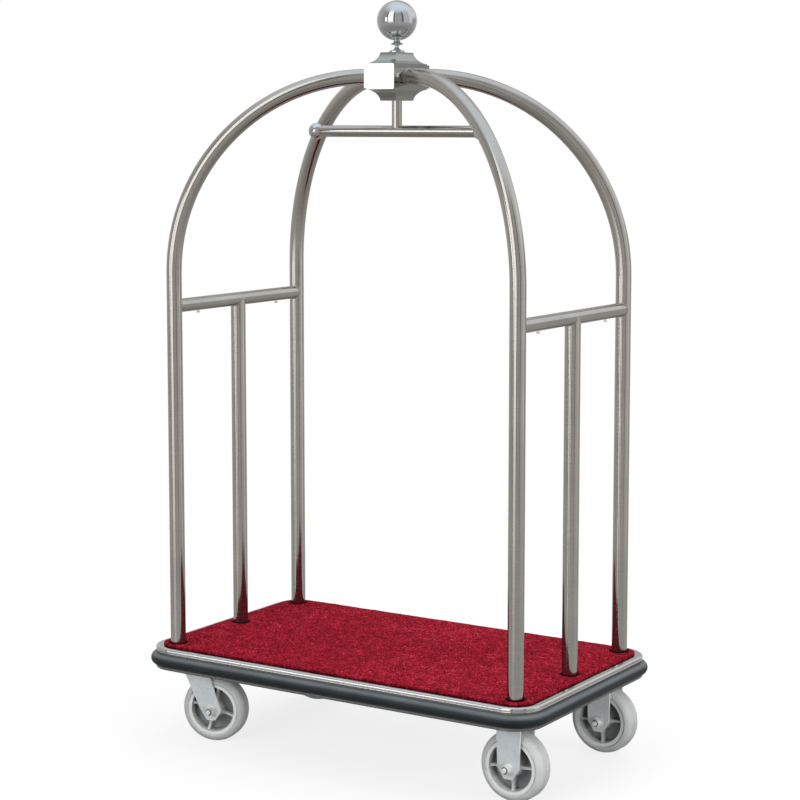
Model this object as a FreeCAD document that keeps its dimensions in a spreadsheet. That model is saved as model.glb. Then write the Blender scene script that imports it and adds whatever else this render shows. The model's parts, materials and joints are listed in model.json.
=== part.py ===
import FreeCAD, Part
import math
import os
import Sketcher

# Hotel luggage cart, millimetres. X runs along the deck, -Y is the front long side,
# +Z is up, and the origin is on the floor under the middle of the deck.
# The swivel casters are at the -X end and the rigid ones at the +X end.

os.makedirs("parts", exist_ok=True)
doc = FreeCAD.newDocument("luggage_cart")
Vector = FreeCAD.Vector

DRIVING_DIMENSIONS = [
    ("post_half_x", 488, "corner post centre from the middle, along the deck"),
    ("post_half_y", 261, "corner post centre from the middle, across the deck"),
    ("tube_radius", 19, "outer radius of the cage tubes"),
    ("tube_wall", 1.5, "wall of every round tube"),
    ("bend_radius", 481, "centre-line radius of the arch bend"),
    ("bend_start_z", 1182, "height where the corner posts start to bend"),
    ("rail_z", 1100, "height of the side rails' centre line"),
    ("rail_radius", 17, "outer radius of the side rails"),
    ("stub_reach", 68, "seam between stub and rail, from the post centre"),
    ("joiner_overlap", 32, "length of the inner joiner on each side of the seam"),
    ("screw_reach", 95, "set screw from the post centre"),
    ("screw_radius", 3, "set screw radius"),
    ("screw_drop", 6.5, "set screw below the rail"),
    ("screw_tip", 3, "set screw inside the joiner"),
    ("screw_head_radius", 4.5, "set screw head"),
    ("screw_head_thick", 4, "set screw head"),
    ("carpet_half_x", 531, "half length of the carpet"),
    ("carpet_half_y", 299, "half width of the carpet"),
    ("carpet_corner", 52, "corner radius of the carpet"),
    ("carpet_top_z", 250, "height of the carpet's top"),
    ("carpet_thick", 6, "pile and backing"),
    ("carpet_hole", 22, "radius of the holes that the posts pass through"),
    ("board_thick", 15, "plywood board"),
    ("board_gap", 0.3, "radial gap round a post in the board"),
    ("board_inset", 3.4, "board edge inside the carpet edge"),
    ("frame_half_x", 506, "outer half length of the steel frame"),
    ("frame_half_y", 281, "outer half width of the steel frame"),
    ("frame_width", 30, "width of the frame's rectangular tube"),
    ("frame_height", 28, "height of the frame's rectangular tube"),
    ("frame_wall", 2, "wall of the frame's rectangular tube"),
    ("cross_spacing", 250, "distance between the cross members"),
    ("mount_plate_inner_x", 375, "inner edge of a caster mounting plate"),
    ("mount_plate_outer_x", 514, "outer edge of a caster mounting plate"),
    ("mount_plate_thick", 6, "caster mounting plate"),
    ("trim_web", 3, "trim reaches this far inside and outside the carpet edge"),
    ("trim_lip", 20, "upper lip of the trim outside the carpet edge"),
    ("trim_round", 6, "rounding of the upper lip"),
    ("trim_bevel", 2, "rounding of the lower lip"),
    ("trim_step", 3, "neck of the trim, set back from its lips"),
    ("trim_chamfer", 1.5, "chamfer under the upper lip"),
    ("bead_rise", 3.5, "foot of the trim's bead above the bumper channel"),
    ("bead_half", 1.75, "half height of the trim's bead"),
    ("groove_height", 2, "groove between the bead and the upper lip"),
    ("trim_height", 55, "height of the trim"),
    ("lower_lip", 7, "height of the trim's lower lip"),
    ("bumper_height", 30.4, "height of the rubber bumper"),
    ("bumper_gap", 0.3, "gap between the bumper and its channel"),
    ("bumper_reach", 33, "how far the bumper stands outside the carpet edge"),
    ("hub_half_x", 43, "half length of the hub box"),
    ("hub_half_y", 80, "half width of the hub box"),
    ("hub_height", 56, "height of the hub box"),
    ("hub_wall", 6, "wall of the hub box"),
    ("cap_height", 30, "height of a hub cap"),
    ("cap_ledge", 4, "ledge between the hub box and a cap's foot"),
    ("cap_foot", 3, "upright foot of a cap"),
    ("cap_wall", 3, "side wall of a cap's hollow"),
    ("cap_roof", 4, "metal above a cap's hollow"),
    ("cap_top_half_x", 23, "half length of a cap's flat"),
    ("cap_top_half_y", 38, "half width of a cap's flat"),
    ("ball_radius", 48.5, "finial ball"),
    ("ball_wall", 2.5, "wall of the hollow finial ball"),
    ("ball_center_z", 1798, "height of the finial ball's centre"),
    ("finial_base_radius", 19, "foot of the finial's turned base"),
    ("finial_waist_radius", 5, "waist of the turned base"),
    ("finial_bead_radius", 15, "bead under the ball"),
    ("finial_scoop", 9.5, "radius of the scoops above and below the waist"),
    ("stud_extra", 2, "ball stud radius beyond the waist"),
    ("stud_rise", 8, "ball stud inside the ball"),
    ("hanger_z", 1531, "height of the hanger bar's centre line"),
    ("hanger_radius", 14.25, "outer radius of the hanger bar"),
    ("hanger_half", 238, "hanger ball centre from the middle"),
    ("hanger_ball_radius", 20.5, "hanger end balls"),
    ("stem_radius", 12.5, "outer radius of the hanger stem"),
    ("rigid_x", 469, "rigid caster centre along the deck"),
    ("swivel_x", -442, "swivel axis along the deck"),
    ("caster_y", 224, "caster centre across the deck"),
    ("trail", 38, "axle behind the swivel axis"),
    ("rest_turn", 15, "degrees that the swivel casters are turned at rest"),
    ("wheel_radius", 83, "tread radius"),
    ("tyre_half", 28, "half width of the tyre"),
    ("tyre_side_drop", 15, "tyre side wall ends this far inside the tread"),
    ("tyre_shoulder", 19, "radius of the tyre's shoulder"),
    ("tyre_flat", 9, "half width of the flat tread"),
    ("tyre_bond", 60, "radius where the tyre is bonded to the core"),
    ("bond_inset", 6, "bond edge inside the tyre's side"),
    ("rim_outer", 66, "outer radius of the rim face"),
    ("rim_inner", 56.5, "inner radius of the rim face"),
    ("rim_half", 26, "half width of the rim"),
    ("web_half", 3, "half thickness of the wheel's web"),
    ("boss_radius", 17, "radius of the wheel's boss"),
    ("boss_half", 27, "half length of the wheel's boss"),
    ("boss_flare", 2, "boss is this much wider at its root"),
    ("web_fillet", 9, "fillet between the boss and the web"),
    ("rim_taper", 3, "inner taper of the rim"),
    ("rib_overlap", 2, "spoke rib set into the boss"),
    ("spoke_half", 22, "half depth of a spoke rib"),
    ("spoke_thick", 5, "thickness of a spoke rib"),
    ("bearing_radius", 13, "outer radius of a wheel bearing"),
    ("bearing_width", 9, "width of a wheel bearing"),
    ("race_reach", 31.2, "outer end of the inner race from the wheel's middle"),
    ("race_radius", 9, "outer radius of the inner race where it stands out"),
    ("axle_radius", 6, "axle bolt"),
    ("axle_gap", 0.05, "radial clearance of the bearing on the axle"),
    ("axle_head_thick", 7, "axle bolt head"),
    ("axle_end", 22, "axle bolt's end beyond the fork leg"),
    ("washer_thick", 2.5, "washer under the axle nut"),
    ("nut_thick", 10, "hexagon of the axle nut"),
    ("nut_collar", 4, "collar of the axle nut that holds the nylon ring"),
    ("leg_inner", 31.5, "inner face of a fork leg from the wheel's middle"),
    ("leg_thick", 5, "fork plate"),
    ("leg_top_half", 32, "half width of a leg at its top"),
    ("leg_low_half", 28, "half width of a leg at the axle"),
    ("leg_tip_half", 11, "half width of a leg's tip"),
    ("leg_tip_z", 58, "height of a leg's tip"),
    ("plate_half_x", 42, "half length of a caster plate"),
    ("plate_half_y", 53, "half width of a caster plate"),
    ("plate_thick", 5, "caster plate"),
    ("plate_corner", 8, "corner radius of a caster plate"),
    ("bolt_half_x", 31, "caster bolt from the plate's middle, along"),
    ("bolt_half_y", 45, "caster bolt from the plate's middle, across"),
    ("bolt_radius", 4, "caster bolt"),
    ("bolt_gap", 0.4, "radial gap of a caster bolt in its plate"),
    ("bolt_head_thick", 5.5, "caster bolt head"),
    ("bolt_short", 0.5, "caster bolt's end below the top of the mounting plate"),
    ("crown_top_z", 176, "top of the swivel fork's crown"),
    ("ball_track", 26, "radius of the ring of bearing balls"),
    ("race_ball", 3.5, "radius of a bearing ball"),
    ("race_split_z", 183, "height where the two races meet"),
    ("race_gap", 0.5, "each race ends this far from the meeting height"),
    ("groove_gap", 0.1, "clearance of a bearing ball in its groove"),
    ("skirt_radius", 38, "outer radius of the bearing's skirt"),
    ("skirt_thick", 2, "wall of the skirt"),
    ("skirt_gap", 1.5, "skirt above the fork's crown"),
    ("lower_race_inset", 3, "lower race inside the skirt's outer radius"),
    ("upper_race_bore", 12, "bore of the upper race"),
    ("kingpin_radius", 6, "kingpin"),
    ("kingpin_head_thick", 4, "kingpin head"),
    ("kingpin_nut_thick", 7, "kingpin nut"),
    ("kingpin_nut_gap", 0.3, "kingpin nut below the fork's crown"),
    ("kingpin_gap", 0.08, "radial clearance of the fork on the kingpin"),
    ("post_bolt_radius", 5, "bolt that holds a post"),
    ("post_bolt_head_thick", 7, "head of a post's bolt"),
    ("plug_height", 30, "threaded plug inside a post's foot"),
    ("plug_spare", 4, "thread left above the end of a post's bolt"),
    ("arch_end", 20, "an arch's run ends this far from the middle, inside the hub"),
]


class Dim:
    """A size that keeps its spreadsheet formula beside its value."""

    def __init__(self, formula, value):
        self.formula = formula
        self.value = float(value)

    def __add__(self, other):
        other = as_dim(other)
        return Dim(f"({self.formula} + {other.formula})", self.value + other.value)

    def __sub__(self, other):
        other = as_dim(other)
        return Dim(f"({self.formula} - {other.formula})", self.value - other.value)

    def __mul__(self, other):
        other = as_dim(other)
        return Dim(f"({self.formula} * {other.formula})", self.value * other.value)

    def __truediv__(self, other):
        other = as_dim(other)
        return Dim(f"({self.formula} / {other.formula})", self.value / other.value)

    def __neg__(self):
        return Dim(f"(0 - {self.formula})", -self.value)

    __radd__ = __add__

    def __rmul__(self, other):
        return as_dim(other) * self

    def __rsub__(self, other):
        return as_dim(other) - self


def as_dim(number):
    return number if isinstance(number, Dim) else Dim(f"({number})", number)


def root(square):
    return Dim(f"sqrt({square.formula})", math.sqrt(square.value))


class Sheet:
    """The driving dimensions, each one an attribute by its alias."""

    def __init__(self, rows):
        cells = doc.addObject("Spreadsheet::Sheet", "dims")
        for number, (alias, value, meaning) in enumerate(rows, 1):
            cells.set(f"A{number}", meaning)
            cells.set(f"B{number}", str(value))
            cells.setAlias(f"B{number}", alias)
            setattr(self, alias, Dim(f"dims.{alias}", value))


d = Sheet(DRIVING_DIMENSIONS)
doc.recompute()

# ---- levels and lengths that follow from the driving dimensions

board_top_z = d.carpet_top_z - d.carpet_thick
frame_top_z = board_top_z - d.board_thick
frame_bottom_z = frame_top_z - d.frame_height
plate_top_z = frame_bottom_z - d.mount_plate_thick
plate_bottom_z = plate_top_z - d.plate_thick
trim_bottom_z = board_top_z - d.trim_height
arch_reach = root(d.post_half_x * d.post_half_x + d.post_half_y * d.post_half_y)
ARCH_ANGLE = math.degrees(math.atan2(d.post_half_y.value, d.post_half_x.value))
arch_top_z = d.bend_start_z + d.bend_radius
hub_bottom_z = arch_top_z - d.hub_height / 2
hub_top_z = arch_top_z + d.hub_height / 2
leg_outer = d.leg_inner + d.leg_thick
axle_z = d.wheel_radius
inner_tube = d.tube_radius - d.tube_wall
inner_rail = d.rail_radius - d.tube_wall
SIDES = {"left": -1, "right": 1}
ROWS = {"front": -1, "back": 1}
POST_NAMES = [(row, side) for row in ROWS for side in SIDES]
SWIVEL_SIDE, RIGID_SIDE = "left", "right"

# ---- plain ratios and counts

HEAD_PER_SHANK = 1.8      # across a bolt head's corners, to the shank
NUT_PER_SHANK = 1.95      # across an axle nut's corners, to the shank
PIN_HEAD_PER_PIN = 1.6    # kingpin head to kingpin
WASHER_PER_SHANK = 2.3
COLLAR_PER_SHANK = (1.75, 1.5)    # nut collar at its foot and at its end, to the shank
ARC_SLACK = 0.001         # keeps a half circle's radius above half its chord
RACE_BALLS = 16
SPOKES = 4
SPOKE_TURN = {"left": 14, "right": -4}    # degrees that each side's wheels are rolled at rest

parts = {}


def keep(label, obj):
    """Names the finished sub-part."""
    obj.Label = label
    parts[label] = obj
    return obj


def bind(obj, **sizes):
    for name, size in sizes.items():
        obj.setExpression(name, as_dim(size).formula)
    return obj


def place(obj, x=0, y=0, z=0, axis=(0, 0, 1), angle=0):
    """Placement as a formula: a turn about axis through the origin, then a move."""
    move = "; ".join(as_dim(value).formula for value in (x, y, z))
    turn = "; ".join(str(value) for value in axis)
    obj.setExpression(
        "Placement",
        f"create(<<placement>>; create(<<vector>>; {move}); "
        f"create(<<rotation>>; create(<<vector>>; {turn}); {as_dim(angle).formula}))")
    return obj


# ---- Part primitives and booleans

def cylinder(name, radius, height, **where):
    obj = doc.addObject("Part::Cylinder", name)
    return place(bind(obj, Radius=radius, Height=height), **where)


def cone(name, low, high, height, **where):
    obj = doc.addObject("Part::Cone", name)
    return place(bind(obj, Radius1=low, Radius2=high, Height=height), **where)


def sphere(name, radius, **where):
    return place(bind(doc.addObject("Part::Sphere", name), Radius=radius), **where)


def hexagon(name, radius, height, **where):
    obj = doc.addObject("Part::Prism", name)
    obj.Polygon = 6
    return place(bind(obj, Circumradius=radius, Height=height), **where)


def box(name, low, high):
    """A box from its lowest and highest corners."""
    obj = doc.addObject("Part::Box", name)
    size = [as_dim(top) - bottom for bottom, top in zip(low, high)]
    bind(obj, Length=size[0], Width=size[1], Height=size[2])
    return place(obj, *low)


def cut(name, base, tool):
    obj = doc.addObject("Part::Cut", name)
    obj.Base = base
    obj.Tool = tool
    return obj


def fuse(name, pieces):
    obj = doc.addObject("Part::MultiFuse", name)
    obj.Shapes = pieces
    obj.Refine = True
    return obj


def group(name, pieces):
    """Separate solids that share one node."""
    obj = doc.addObject("Part::Compound", name)
    obj.Links = pieces
    return obj


def tube(name, radius, wall, height, **where):
    outer = cylinder(name + "_outer", radius, height, **where)
    inner = cylinder(name + "_inner", radius - wall, height, **where)
    return cut(name, outer, inner)


# ---- sketches: an outline is a list of corners, each (x, y) or (x, y, radius, turn),
# where the last two describe the arc that leads to the next corner

def line_or_arc(sketch, start, end):
    first = Vector(start[0].value, start[1].value, 0)
    last = Vector(end[0].value, end[1].value, 0)
    if len(start) == 2:
        index = sketch.addGeometry(Part.LineSegment(first, last), False)
        return index, 1, 2
    radius, turn = start[2], start[3]
    chord = last - first
    height = math.sqrt(max(radius.value ** 2 - (chord.Length / 2) ** 2, 0))
    side = Vector(-chord.y, chord.x, 0).normalize() * turn
    center = (first + last) * 0.5 + side * height
    circle = Part.Circle(center, Vector(0, 0, 1), radius.value)
    from_point, to_point = (first, last) if turn > 0 else (last, first)
    angles = [math.atan2(p.y - center.y, p.x - center.x) for p in (from_point, to_point)]
    index = sketch.addGeometry(Part.ArcOfCircle(circle, *angles), False)
    number = sketch.addConstraint(Sketcher.Constraint("Radius", index, radius.value))
    sketch.setExpression(f"Constraints[{number}]", radius.formula)
    return (index, 1, 2) if turn > 0 else (index, 2, 1)


def fix_point(sketch, index, end, corner):
    for kind, size in (("DistanceX", corner[0]), ("DistanceY", corner[1])):
        number = sketch.addConstraint(
            Sketcher.Constraint(kind, -1, 1, index, end, size.value))
        sketch.setExpression(f"Constraints[{number}]", size.formula)


def draw(sketch, corners, closed=True):
    corners = [tuple(as_dim(v) for v in c[:3]) + tuple(c[3:]) for c in corners]
    following = corners[1:] + (corners[:1] if closed else [])
    segments = [line_or_arc(sketch, a, b) for a, b in zip(corners, following)]
    for (index, start, _), corner in zip(segments, corners):
        fix_point(sketch, index, start, corner)
    for (one, _, end), (other, start, _) in zip(segments, segments[1:]):
        sketch.addConstraint(Sketcher.Constraint("Coincident", one, end, other, start))
    last, _, last_end = segments[-1]
    if closed:
        first, first_start, _ = segments[0]
        sketch.addConstraint(
            Sketcher.Constraint("Coincident", last, last_end, first, first_start))
    else:
        fix_point(sketch, last, last_end, corners[-1])


def circle(sketch, x, y, radius):
    x, y, radius = as_dim(x), as_dim(y), as_dim(radius)
    ring = Part.Circle(Vector(x.value, y.value, 0), Vector(0, 0, 1), radius.value)
    index = sketch.addGeometry(ring, False)
    fix_point(sketch, index, 3, (x, y))
    number = sketch.addConstraint(Sketcher.Constraint("Radius", index, radius.value))
    sketch.setExpression(f"Constraints[{number}]", radius.formula)


def new_body(name):
    return doc.addObject("PartDesign::Body", name)


def new_sketch(body, name, plane):
    sketch = body.newObject("Sketcher::SketchObject", name)
    support = next(f for f in body.Origin.OriginFeatures if f.Role == plane)
    sketch.AttachmentSupport = (support, [""])
    sketch.MapMode = "FlatFace"
    return sketch


def raise_sketch(sketch, height):
    """Lifts a sketch on the XY plane to a height."""
    sketch.setExpression("AttachmentOffset.Base.z", as_dim(height).formula)


def pad(body, name, sketch, length, both_ways=False):
    feature = body.newObject("PartDesign::Pad", name)
    feature.Profile = sketch
    feature.Midplane = both_ways
    return bind(feature, Length=length)


def revolve(body, name, sketch, axis):
    feature = body.newObject("PartDesign::Revolution", name)
    feature.Profile = sketch
    feature.ReferenceAxis = (sketch, [axis])
    feature.Angle = 360
    return feature


def pipe(body, name, profile, path):
    feature = body.newObject("PartDesign::AdditivePipe", name)
    feature.Profile = profile
    feature.Spine = (path, [""])
    return feature


def rounded_rectangle(half_x, half_y, radius):
    """Corners anticlockwise from the middle of the +X side."""
    along_x, along_y = half_x - radius, half_y - radius
    return [(half_x, 0), (half_x, along_y, radius, 1), (along_x, half_y),
            (-along_x, half_y, radius, 1), (-half_x, along_y),
            (-half_x, -along_y, radius, 1), (-along_x, -half_y),
            (along_x, -half_y, radius, 1), (half_x, -along_y)]


POST_PLACES = ([(SIDES[side] * d.post_half_x, ROWS[row] * d.post_half_y)
                for row, side in POST_NAMES]
               + [(sign * d.post_half_x, as_dim(0)) for sign in SIDES.values()])


# ---- deck

def make_sheet(label, inset, bottom, thick, hole_radius):
    """A flat deck layer with a hole for every post."""
    body = new_body(label)
    outline = new_sketch(body, label + "_outline", "XY_Plane")
    draw(outline, rounded_rectangle(d.carpet_half_x - inset, d.carpet_half_y - inset,
                                    d.carpet_corner - inset))
    for x, y in POST_PLACES:
        circle(outline, x, y, hole_radius)
    raise_sketch(outline, bottom)
    pad(body, label + "_pad", outline, thick)
    return keep(label, body)


def make_ring(label, corners):
    """A section given by (reach outside the carpet edge, height), run round the deck."""
    body = new_body(label)
    path = new_sketch(body, label + "_path", "XY_Plane")
    draw(path, rounded_rectangle(d.carpet_half_x, d.carpet_half_y, d.carpet_corner))
    profile = new_sketch(body, label + "_section", "XZ_Plane")
    draw(profile, [(d.carpet_half_x + c[0],) + tuple(c[1:]) for c in corners])
    pipe(body, label + "_pipe", profile, path)
    return keep(label, body)


def make_edge_trim():
    low, high = trim_bottom_z, board_top_z
    channel_low = low + d.lower_lip
    channel_high = channel_low + d.bumper_height + d.bumper_gap * 2
    tip, neck, bevel, chamfer = d.trim_lip, d.trim_lip - d.trim_step, d.trim_bevel, d.trim_chamfer
    bead_low = channel_high + d.bead_rise
    bead_high = bead_low + d.bead_half * 2
    lip_low = bead_high + d.groove_height
    make_ring("edge_trim", [
        (-d.trim_web, low), (tip - bevel, low, bevel, 1), (tip, low + bevel),
        (tip, channel_low), (d.trim_web, channel_low), (d.trim_web, channel_high),
        (neck, channel_high), (neck, bead_low, d.bead_half + ARC_SLACK, 1),
        (neck, bead_high), (neck, lip_low), (tip - chamfer, lip_low), (tip, lip_low + chamfer),
        (tip, high - d.trim_round, d.trim_round, 1), (tip - d.trim_round, high),
        (-d.trim_web, high)])


def make_bumper():
    low = trim_bottom_z + d.lower_lip + d.bumper_gap
    high = low + d.bumper_height
    half = d.bumper_height / 2
    flank = d.bumper_reach - half
    make_ring("bumper", [
        (d.trim_web + d.bumper_gap, low), (flank, low, half + ARC_SLACK, 1), (flank, high),
        (d.trim_web + d.bumper_gap, high)])


def frame_tube(name, low, high, along):
    """Rectangular tube between two corners, open at the ends of its length."""
    wall = d.frame_wall
    inner_low = [low[i] if i == along else low[i] + wall for i in range(3)]
    inner_high = [high[i] if i == along else high[i] - wall for i in range(3)]
    return cut(name, box(name + "_outer", low, high), box(name + "_inner", inner_low, inner_high))


def make_deck_frame():
    """End rails run the full width, and the long rails and cross members butt on them."""
    low_z, high_z, width = frame_bottom_z, frame_top_z, d.frame_width
    end_inner = d.frame_half_x - width
    long_inner = d.frame_half_y - width
    tubes = []
    for name, sign in SIDES.items():
        near, far = sorted((sign * end_inner, sign * d.frame_half_x), key=lambda v: v.value)
        tubes.append(frame_tube(f"end_rail_{name}", (near, -d.frame_half_y, low_z),
                                (far, d.frame_half_y, high_z), 1))
    for name, sign in ROWS.items():
        near, far = sorted((sign * long_inner, sign * d.frame_half_y), key=lambda v: v.value)
        tubes.append(frame_tube(f"long_rail_{name}", (-end_inner, near, low_z),
                                (end_inner, far, high_z), 0))
    for step in (-1, 0, 1):
        x = step * d.cross_spacing
        tubes.append(frame_tube(f"cross_member_{step + 1}", (x - width / 2, -long_inner, low_z),
                                (x + width / 2, long_inner, high_z), 1))
    holes = [cylinder(f"frame_bolt_hole_{n}", d.post_bolt_radius, d.frame_wall * 2,
                      x=x, y=y, z=high_z - d.frame_wall * 1.5)
             for n, (x, y) in enumerate(POST_PLACES)]
    keep("deck_frame", cut("deck_frame", fuse("frame_weldment", tubes),
                           group("frame_bolt_holes", holes)))


def caster_origin(side, row):
    x = d.swivel_x if side == SWIVEL_SIDE else d.rigid_x
    return x, ROWS[row] * d.caster_y


def bolt_places(side, row):
    x, y = caster_origin(side, row)
    return [(x + a * d.bolt_half_x, y + b * d.bolt_half_y) for a in (-1, 1) for b in (-1, 1)]


def make_mount_plates():
    for side, sign in SIDES.items():
        label = f"caster_mount_plate_{side}"
        near, far = sorted((sign * d.mount_plate_inner_x, sign * d.mount_plate_outer_x),
                           key=lambda v: v.value)
        plate = box(label + "_blank", (near, -d.frame_half_y, plate_top_z),
                    (far, d.frame_half_y, frame_bottom_z))
        holes = []
        for row in ROWS:
            for n, (x, y) in enumerate(bolt_places(side, row)):
                holes.append(cylinder(f"{label}_{row}_hole_{n}", d.bolt_radius,
                                      d.mount_plate_thick, x=x, y=y, z=plate_top_z))
            if side == SWIVEL_SIDE:
                x, y = caster_origin(side, row)
                holes.append(cylinder(f"{label}_{row}_pin_hole", d.kingpin_radius * 2,
                                      d.mount_plate_thick, x=x, y=y, z=plate_top_z))
        keep(label, cut(label, plate, group(label + "_holes", holes)))


# ---- cage

def make_arches():
    """Post, quarter bend towards the middle, and a short level run to the hub's end face."""
    for row, side in POST_NAMES:
        label = f"arch_tube_{row}_{side}"
        body = new_body(label + "_bent")
        path = new_sketch(body, label + "_path", "XZ_Plane")
        draw(path, [(arch_reach, frame_top_z), (arch_reach, d.bend_start_z, d.bend_radius, 1),
                    (arch_reach - d.bend_radius, arch_top_z), (d.arch_end, arch_top_z)], closed=False)
        profile = new_sketch(body, label + "_section", "XY_Plane")
        circle(profile, arch_reach, 0, d.tube_radius)
        circle(profile, arch_reach, 0, inner_tube)
        raise_sketch(profile, frame_top_z)
        pipe(body, label + "_pipe", profile, path)
        turn = {("front", "left"): 180 + ARCH_ANGLE, ("front", "right"): -ARCH_ANGLE,
                ("back", "left"): 180 - ARCH_ANGLE, ("back", "right"): ARCH_ANGLE}[row, side]
        place(body, angle=turn)
        # the tube's end is cut flat where it meets the hub
        reach = d.hub_half_x
        tool = box(label + "_hub_cut", (-reach, -d.hub_half_y * 2, hub_bottom_z - d.hub_height),
                   (reach, d.hub_half_y * 2, hub_top_z + d.hub_height))
        keep(label, cut(label, body, tool))


def make_mid_posts():
    for side, sign in SIDES.items():
        label = f"mid_post_{side}"
        post = tube(label + "_tube", d.tube_radius, d.tube_wall, d.rail_z - frame_top_z,
                    x=sign * d.post_half_x, z=frame_top_z)
        saddle = cylinder(label + "_saddle", d.rail_radius, d.post_half_y,
                          x=sign * d.post_half_x, y=d.post_half_y / 2, z=d.rail_z,
                          axis=(1, 0, 0), angle=90)
        keep(label, cut(label, post, saddle))


def make_side_rails():
    """Rail tube, welded stubs, inner joiners and set screws at both ends of the cart."""
    stubs, joiners, screws = [], [], []
    seam = d.post_half_y - d.stub_reach
    for side, sign in SIDES.items():
        x = sign * d.post_half_x
        rail = tube(f"side_rail_{side}_tube", d.rail_radius, d.tube_wall, seam * 2,
                    x=x, y=seam, z=d.rail_z, axis=(1, 0, 0), angle=90)
        holes = []
        for row, way in ROWS.items():
            name = f"{row}_{side}"
            post_y, seam_y = way * d.post_half_y, way * seam
            start = seam_y if way > 0 else post_y
            blank = tube(f"stub_{name}_tube", d.rail_radius, d.tube_wall, d.stub_reach,
                         x=x, y=start, z=d.rail_z, axis=(1, 0, 0), angle=-90)
            coping = cylinder(f"stub_{name}_coping", d.tube_radius, d.rail_radius * 4,
                              x=x, y=post_y, z=d.rail_z - d.rail_radius * 2)
            stubs.append(cut(f"stub_{name}", blank, coping))
            joiner_start = seam_y - d.joiner_overlap
            joiner = tube(f"joiner_{name}_tube", inner_rail, d.tube_wall, d.joiner_overlap * 2,
                          x=x, y=joiner_start, z=d.rail_z, axis=(1, 0, 0), angle=-90)
            screw_y = way * (d.post_half_y - d.screw_reach)
            bottom = d.rail_z - d.rail_radius - d.screw_drop
            screw_length = d.screw_drop + d.tube_wall * 2 + d.screw_tip
            hole = cylinder(f"screw_hole_{name}", d.screw_radius, screw_length,
                            x=x, y=screw_y, z=bottom)
            joiners.append(cut(f"joiner_{name}", joiner, hole))
            holes.append(cylinder(f"rail_hole_{name}", d.screw_radius, screw_length,
                                  x=x, y=screw_y, z=bottom))
            shank = cylinder(f"screw_shank_{name}", d.screw_radius, screw_length,
                             x=x, y=screw_y, z=bottom)
            head = cylinder(f"screw_head_{name}", d.screw_head_radius, d.screw_head_thick,
                            x=x, y=screw_y, z=bottom)
            screws.append(fuse(f"screw_{name}", [shank, head]))
        keep(f"side_rail_{side}", cut(f"side_rail_{side}", rail, group(f"rail_holes_{side}", holes)))
    keep("rail_stubs", group("rail_stubs", stubs))
    keep("rail_joiners", group("rail_joiners", joiners))
    keep("rail_set_screws", group("rail_set_screws", screws))


def make_post_fixings():
    """A threaded plug in each post's foot, and the bolt that pulls it down on the frame."""
    plugs, bolts = [], []
    bolt_end = frame_top_z + d.plug_height - d.plug_spare
    head_z = frame_top_z - d.frame_wall - d.post_bolt_head_thick
    for n, (x, y) in enumerate(POST_PLACES):
        blank = cylinder(f"plug_blank_{n}", inner_tube, d.plug_height, x=x, y=y, z=frame_top_z)
        thread = cylinder(f"plug_thread_{n}", d.post_bolt_radius, d.plug_height,
                          x=x, y=y, z=frame_top_z)
        plugs.append(cut(f"plug_{n}", blank, thread))
        head = hexagon(f"post_bolt_head_{n}", d.post_bolt_radius * HEAD_PER_SHANK,
                       d.post_bolt_head_thick, x=x, y=y, z=head_z)
        shank = cylinder(f"post_bolt_shank_{n}", d.post_bolt_radius, bolt_end - head_z,
                         x=x, y=y, z=head_z)
        bolts.append(fuse(f"post_bolt_{n}", [head, shank]))
    keep("post_plugs", group("post_plugs", plugs))
    keep("post_bolts", group("post_bolts", bolts))


# ---- hub, finial and hanger

def make_hub_block():
    """A square tube of plate, standing upright; the caps close it."""
    body = new_body("hub_block")
    outline = new_sketch(body, "hub_outline", "XY_Plane")
    for inset in (as_dim(0), d.hub_wall):
        x, y = d.hub_half_x - inset, d.hub_half_y - inset
        draw(outline, [(x, -y), (x, y), (-x, y), (-x, -y)])
    raise_sketch(outline, hub_bottom_z)
    pad(body, "hub_pad", outline, d.hub_height)
    keep("hub_block", body)


def cap_side(name, plane, half_foot, half_top, depth):
    """One pair of scooped sides, extruded across the cap; two pairs meet on the mitres."""
    body = new_body(name)
    profile = new_sketch(body, name + "_profile", plane)
    rise = d.cap_height - d.cap_foot
    run = half_foot - half_top
    # an arc that starts level at the foot and ends steep at the flat
    radius = (run * run + rise * rise) / (2 * rise) if run.value > rise.value else \
        (run * run + rise * rise) / (2 * run)
    draw(profile, [(-half_foot, 0), (half_foot, 0), (half_foot, d.cap_foot, radius, -1),
                   (half_top, d.cap_height), (-half_top, d.cap_height, radius, -1),
                   (-half_foot, d.cap_foot)])
    pad(body, name + "_pad", profile, depth, both_ways=True)
    return body


def make_hub_cap(label, base_z, flip, hole_radius):
    foot_x, foot_y = d.hub_half_x - d.cap_ledge, d.hub_half_y - d.cap_ledge
    sides = [cap_side(label + "_ends", "XZ_Plane", foot_x, d.cap_top_half_x, foot_y * 2),
             cap_side(label + "_flanks", "YZ_Plane", foot_y, d.cap_top_half_y, foot_x * 2)]
    solid = doc.addObject("Part::MultiCommon", label + "_scooped")
    solid.Shapes = sides
    hollow_x, hollow_y = d.cap_top_half_x - d.cap_wall, d.cap_top_half_y - d.cap_wall
    hollow = box(label + "_hollow", (-hollow_x, -hollow_y, 0),
                 (hollow_x, hollow_y, d.cap_height - d.cap_roof))
    hole = cylinder(label + "_hole", hole_radius, d.cap_height * 2)
    tools = group(label + "_tools", [hollow, hole])
    cap = cut(label, solid, tools)
    place(cap, z=base_z, axis=(1, 0, 0), angle=180 if flip else 0)
    keep(label, cap)


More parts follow.
